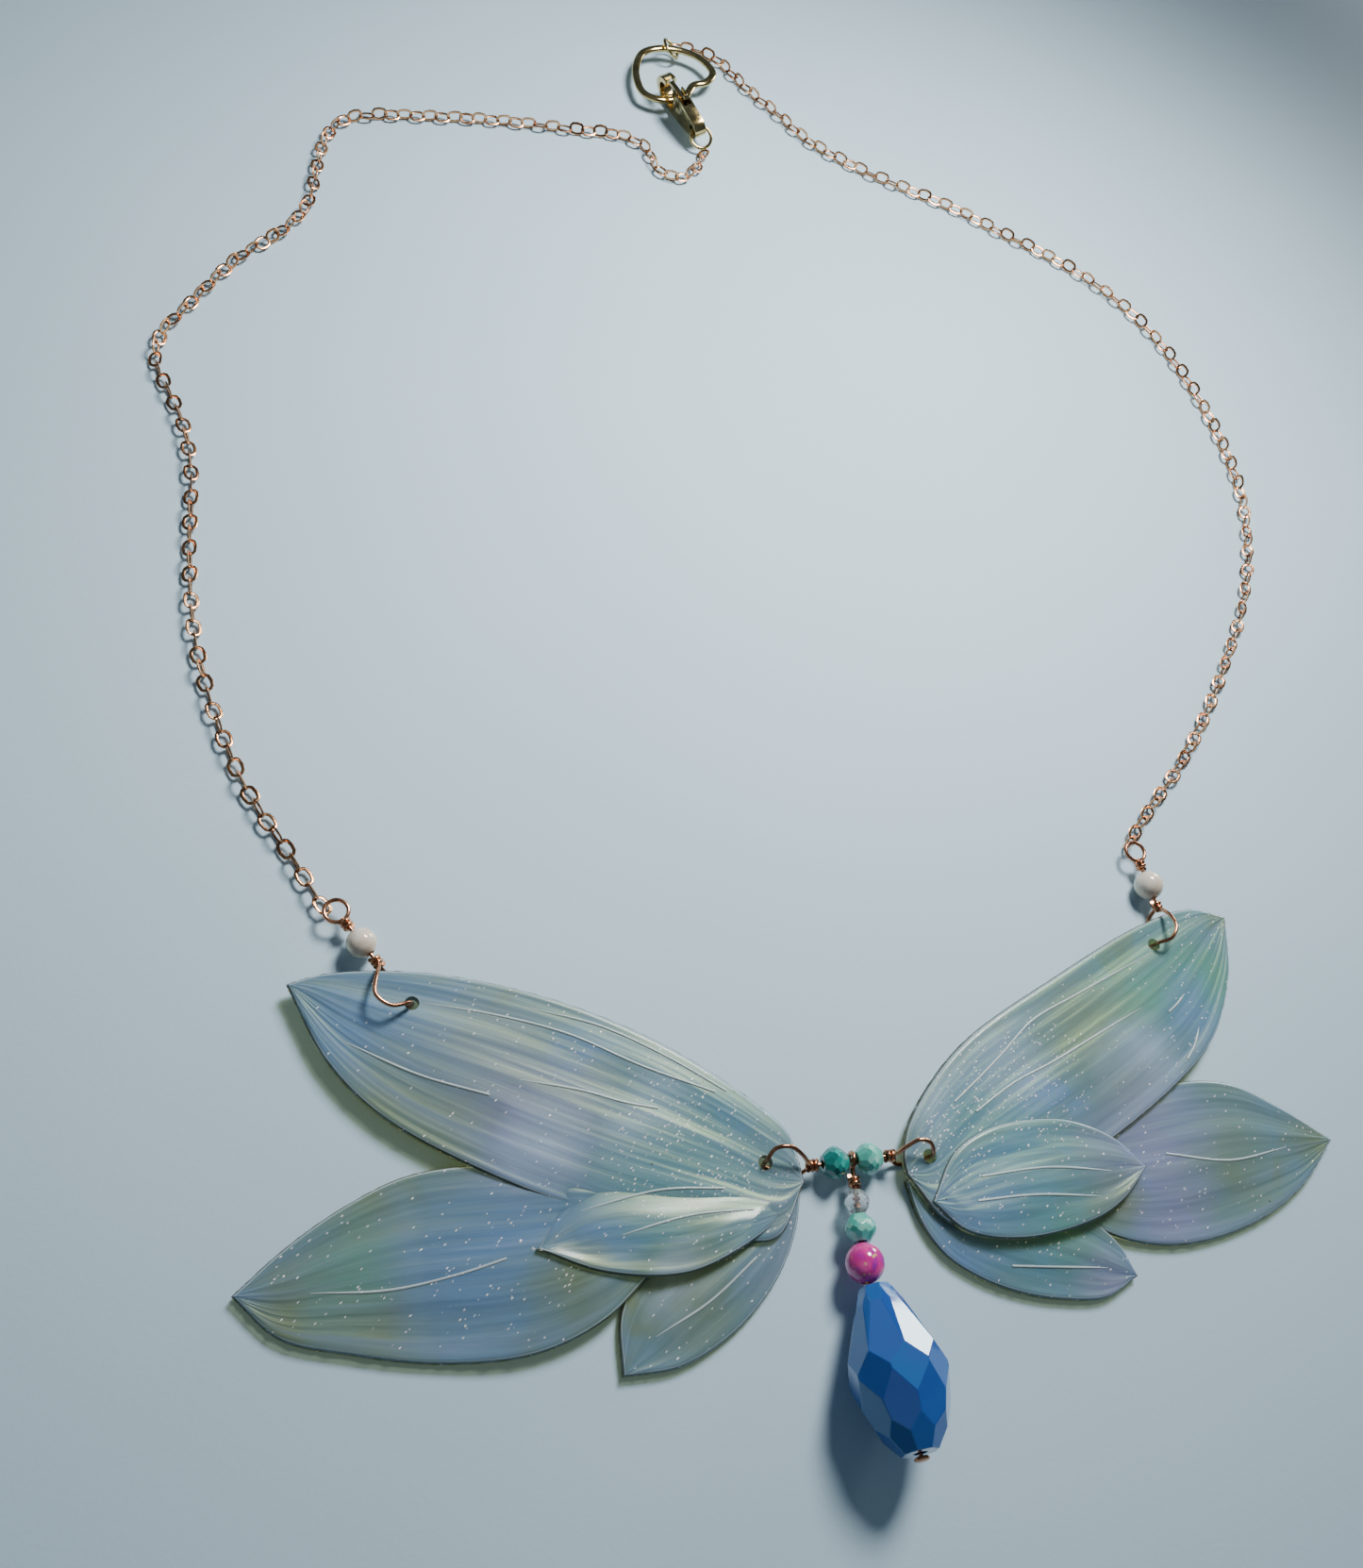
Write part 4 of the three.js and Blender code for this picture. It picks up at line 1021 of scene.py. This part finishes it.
teal_glass = glass("deep teal glass", [(0.1, (0.003, 0.11, 0.10)), (0.5, (0.008, 0.22, 0.19)),
                   (0.9, (0.04, 0.42, 0.34))])
amazonite = glass("amazonite glass", [(0.1, (0.05, 0.34, 0.27)), (0.5, (0.12, 0.52, 0.42)),
                  (0.9, (0.36, 0.74, 0.62))], roughness=0.14, Subsurface_Weight=0.2, Subsurface_Scale=0.001)
clear_glass = glass("clear glass", [(0.1, (0.82, 0.86, 0.88)), (0.9, (1.0, 1.0, 1.0))], roughness=0.03,
                    Transmission_Weight=0.85)
blue_crystal = glass("coated blue crystal", [(0.05, (0.012, 0.055, 0.27)), (0.35, (0.016, 0.085, 0.34)),
                     (0.6, (0.022, 0.12, 0.38)), (0.74, (0.035, 0.10, 0.36)), (0.84, (0.09, 0.09, 0.36)),
                     (0.95, (0.06, 0.20, 0.36))], roughness=0.04, cloud=0.3, scale=220, IOR=1.6,
                     Thin_Film_Thickness=380.0, Thin_Film_IOR=1.5)


def opal_finish():
    f = Finish("pink opal glass", Roughness=0.07, IOR=1.5, Coat_Weight=1.0, Coat_Roughness=0.03,
               Subsurface_Weight=0.25, Subsurface_Radius=(1.0, 0.4, 0.7), Subsurface_Scale=0.0008)
    colour = f.ramp(f.noise(330, 3, 0.55, distortion=0.7), [(0.30, (0.22, 0.02, 0.40)),
                    (0.46, (0.58, 0.02, 0.26)), (0.60, (0.80, 0.07, 0.34)), (0.76, (0.38, 0.07, 0.58))])
    fleck = f.level(f.cells(1500, 0), 0.12, 0.32, 1, 0)
    fleck = f.maths(fleck, f.level(f.noise(480, 2), 0.52, 0.62))
    colour = f.mixed(fleck, colour, (0.42, 0.62, 0.16))
    colour = f.mixed(f.maths(fleck, f.level(f.noise(900), 0.5, 0.6)), colour, (0.92, 0.62, 0.14))
    soft = f.bump(f.noise(700, 2), 0.00003, 0.3)
    return f.wire_up(Base_Color=colour, Normal=soft)


def pearl_finish():
    f = Finish("cream pearl", Roughness=0.16, IOR=1.55, Coat_Weight=0.9, Coat_Roughness=0.10,
               Subsurface_Weight=0.3, Subsurface_Radius=(1.0, 0.8, 0.6), Subsurface_Scale=0.0008,
               Sheen_Weight=0.1, Thin_Film_Thickness=300.0)
    colour = f.ramp(f.noise(520, 3, 0.5, distortion=0.4), [(0.3, (0.58, 0.47, 0.36)),
                    (0.5, (0.68, 0.59, 0.48)), (0.7, (0.76, 0.70, 0.62))])
    skin = f.bump(f.noise(2400, 3), 0.00002, 0.25)
    return f.wire_up(Base_Color=colour, Normal=skin)


opal_glass = opal_finish()
pearl_skin = pearl_finish()
print("beads:", teal_glass.name, amazonite.name, clear_glass.name, blue_crystal.name, opal_glass.name)

# %% [markdown]
# ## The beads
# Each faceted bead is ground with `cut_stone`: the facets of one row are turned half a step from the
# next, and where their planes meet they leave kites and triangles, as a cutter's wheel does. The edges
# get a hair of bevel, as polishing leaves them. The round beads are half circles spun about their holes.

# %% Cut the faceted beads
RONDELLE_ROWS = [
    (0, (0.50, 0.0), (0.95, 0.35)), (0.5, (0.80, 0.16), (1.0, 0.5)), (0, (0.97, 0.4), (0.97, 0.6)),
    (0.5, (1.0, 0.5), (0.80, 0.84)), (0, (0.95, 0.65), (0.50, 1.0)),
]


def sized(rows, radius, long):
    """Rows written as shares of the stone's radius and length, turned into metres."""
    return [(half, *[(r * radius, h * long) for r, h in ends]) for half, *ends in rows]


def rondelle(name, material, diameter, long, count):
    rows = sized(RONDELLE_ROWS, diameter / 2, long)
    place = aimed(HINGES[name + "_spin"], AXES[name + "_spin"]) @ Matrix.Translation((0, 0, -long / 2))
    bm = bmesh.new()
    cut_stone(bm, rows, count, long, place, 0.45 * MM, 0.02 * MM)
    finished(bm, name + "_cut", material, name, [name], 10)


rondelle("teal_rondelle", teal_glass, 3.4 * MM, 2.7 * MM, 12)
rondelle("amazonite_rondelle", amazonite, 3.4 * MM, 2.7 * MM, 12)
rondelle("clear_bead", clear_glass, 2.6 * MM, 2.3 * MM, 8)
rondelle("amazonite_bead", amazonite, 3.3 * MM, 2.7 * MM, 12)

# %% Cut the teardrop
TEAR_ROWS = [
    (0.5, (0.30, 0.0), (0.50, 0.12)), (0, (0.34, 0.0), (0.919, 0.42)), (0.5, (0.50, 0.12), (1.0, 0.55)),
    (0, (0.93, 0.42), (0.88, 0.77)), (0.5, (1.0, 0.55), (0.62, 0.90)), (0, (0.88, 0.77), (0.34, 1.0)),
]
TEAR_TURN = math.radians(4.5)

bm = bmesh.new()
rows = sized(TEAR_ROWS, TEARDROP_RADIUS, TEARDROP_LENGTH)
cut_stone(bm, rows, 8, TEARDROP_LENGTH, tear_place, 0.6 * MM, 0.05 * MM, TEAR_TURN)
finished(bm, "teardrop_cut", blue_crystal, "teardrop", ["teardrop_bead"], 6)


# %% Spin the round beads
LIP_DEPTH = 0.25 * MM
BEAD_STEPS = 22


def round_bead(name, material, diameter, bore):
    """A ball with a bore: its outline runs from one lip to the other, and back along the bore."""
    radius = diameter / 2
    lip = math.acos(bore / radius)
    angles = [lip * (2 * i / BEAD_STEPS - 1) for i in range(BEAD_STEPS + 1)]
    ball = [(radius * math.cos(angle), radius * math.sin(angle)) for angle in angles]
    mouth = radius * math.sin(lip) - LIP_DEPTH
    outline = [(bore * 0.86, -mouth), *ball, (bore * 0.86, mouth), (bore * 0.86, -mouth)]
    bm = bmesh.new()
    turned(bm, outline, aimed(HINGES[name + "_spin"], AXES[name + "_spin"]), 40)
    finished(bm, name + "_round", material, name, [name])


round_bead("opal_bead", opal_glass, 4.0 * MM, 0.6 * MM)
for name in ("left", "right"):
    round_bead(name + "_pearl", pearl_skin, PEARLS[name][0], 0.5 * MM)

# %% [markdown]
# ## The clasp
# The heart is a closed band of brass with soft edges, swept once round a heart-shaped line. Two small
# rings join it and the lobster claw to the chain. The claw is cast, so its outline from the model is
# kept and its edges are rounded over with a bevel, which is how it feels in the hand.

# %% The heart and the rings
HEART_LINE = [
    (5.1, 179.4), (8.2, 180.9), (11.9, 180.8), (14.9, 179.1), (16.3, 176.0), (14.7, 173.3), (12.4, 172.2),
    (10.7, 169.7), (8.1, 168.1), (5.5, 167.8), (3.5, 169.1), (2.9, 172.0), (3.3, 175.8),
]
HEART_HEIGHT = 2.05
HEART_BAND = 0.45 * MM
HEART_WIDE = 1.44
RING_RADIUS = 1.65 * MM
RING_WIRE = 0.25 * MM

bm = bmesh.new()
line = smooth([at(x, y, HEART_HEIGHT) for x, y in HEART_LINE], 9, closed=True)
inward = (line[1] - line[0]).cross(Vector((0, 0, 1))).normalized()
sweep(bm, line, HEART_BAND, 16, closed=True, wide=HEART_WIDE, side=inward)
finished(bm, "heart_band", clasp_metal, "necklace", ["heart_ring"])

for name in ("jump_ring", "end_ring"):
    bm = bmesh.new()
    round_loop(bm, HINGES[name + "_spin"], AXES[name + "_spin"], RING_RADIUS, RING_WIRE, 48)
    finished(bm, name + "_round", clasp_metal, name, [name])


# %% Round the edges of the claw and its lever
def softened(node, body, amount):
    """A copy of a model piece with its corners merged and its sharp edges rounded over."""
    bm = bmesh.new()
    bm.from_mesh(bpy.data.objects[node].data)
    bmesh.ops.remove_doubles(bm, verts=bm.verts, dist=1e-6)
    bmesh.ops.dissolve_limit(bm, angle_limit=math.radians(1), verts=bm.verts, edges=bm.edges)
    sharp = [e for e in bm.edges if e.is_manifold and e.calc_face_angle() > math.radians(50)]
    bmesh.ops.bevel(bm, geom=sharp, offset=amount, affect="EDGES", segments=3, profile=0.5, material=-1,
                    clamp_overlap=True)
    bmesh.ops.triangulate(bm, faces=[f for f in bm.faces if len(f.verts) > 4])
    finished(bm, node + "_cast", clasp_metal, body, [node], 30)


softened("lobster_body", "necklace", 0.28 * MM)
softened("lobster_lever", "lobster_lever", 0.12 * MM)
for node, material in (("lobster_pin", clasp_metal), ("lobster_spring", steel)):
    for slot in bpy.data.objects[node].material_slots:
        slot.material = material
    print(node, "keeps its shape in", material.name)

# %% [markdown]
# ## Paper and light
# The necklace lies on pale blue-grey paper. A soft light comes from behind and a little to the right, as
# from a window, so the shadows fall towards the front left. Its beam is narrow enough that the paper
# darkens towards its edges. A faint light from the front left and a pale sky fill the shadows.

# %% The paper
TABLE_MIDDLE = Vector((0, 0.08, 0))
PAPER_HALF = 1.5
PAPER_BELOW = Vector((0, 0, 0.02)) * MM


def paper_finish():
    f = Finish("pale paper", Roughness=0.75)
    colour = f.mixed(f.level(f.noise(9, 3, 0.5), 0.3, 0.7, 0, 1), (0.45, 0.61, 0.71), (0.50, 0.66, 0.76))
    tooth = f.bump(f.noise(1400, 4, 0.6), 0.00008, 0.25)
    return f.wire_up(Base_Color=colour, Normal=tooth)


bm = bmesh.new()
bmesh.ops.create_grid(bm, x_segments=1, y_segments=1, size=PAPER_HALF,
                      matrix=Matrix.Translation(TABLE_MIDDLE - PAPER_BELOW))
paper = shown("paper", as_mesh(bm, "paper"))
paper.data.materials.append(paper_finish())
paper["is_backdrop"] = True
print("paper laid", 2 * PAPER_HALF, "m wide")


# %% The lights
def soft_light(name, spot, size, watts, colour, spread=180):
    """A round lamp, size metres across, that faces the middle of the table."""
    light = bpy.data.lights.new(name, "AREA")
    light.shape = "DISK"
    light.size = size
    light.energy = watts
    light.color = colour
    light.spread = math.radians(spread)
    lamp = shown(name, light)
    lamp.location = spot
    lamp.rotation_euler = (TABLE_MIDDLE - Vector(spot)).to_track_quat("-Z", "Y").to_euler()


soft_light("window", (0.10, 0.18, 0.22), 0.10, 0.38, (0.99, 1.0, 0.99), spread=86)
soft_light("fill", (-0.30, -0.25, 0.45), 0.5, 0.09, (0.85, 0.93, 1.0))
# a small low light that the teardrop's long facet mirrors towards the viewer
soft_light("low window", tuple(HINGES["teardrop_spin"] + Vector((0.44, 0.40, 0.055))), 0.14, 1.2,
           (1.0, 1.0, 0.96))
world = bpy.data.worlds.new("sky")
world.use_nodes = True
world.node_tree.nodes["Background"].inputs[0].default_value = (0.58, 0.78, 1.0, 1)
world.node_tree.nodes["Background"].inputs[1].default_value = 0.12
scene.world = world
print("three lights and a pale sky")

# %% [markdown]
# ## Finish
# The visual model is meant to fill the imported model's box and no more, so both boxes are printed.

# %% Print the sizes
boxes = {"cad": [list(corner) for corner in CAD_BOX], "visual": [list(corner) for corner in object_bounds()]}
print({name: [[round(c / MM, 2) for c in corner] for corner in box] for name, box in boxes.items()})
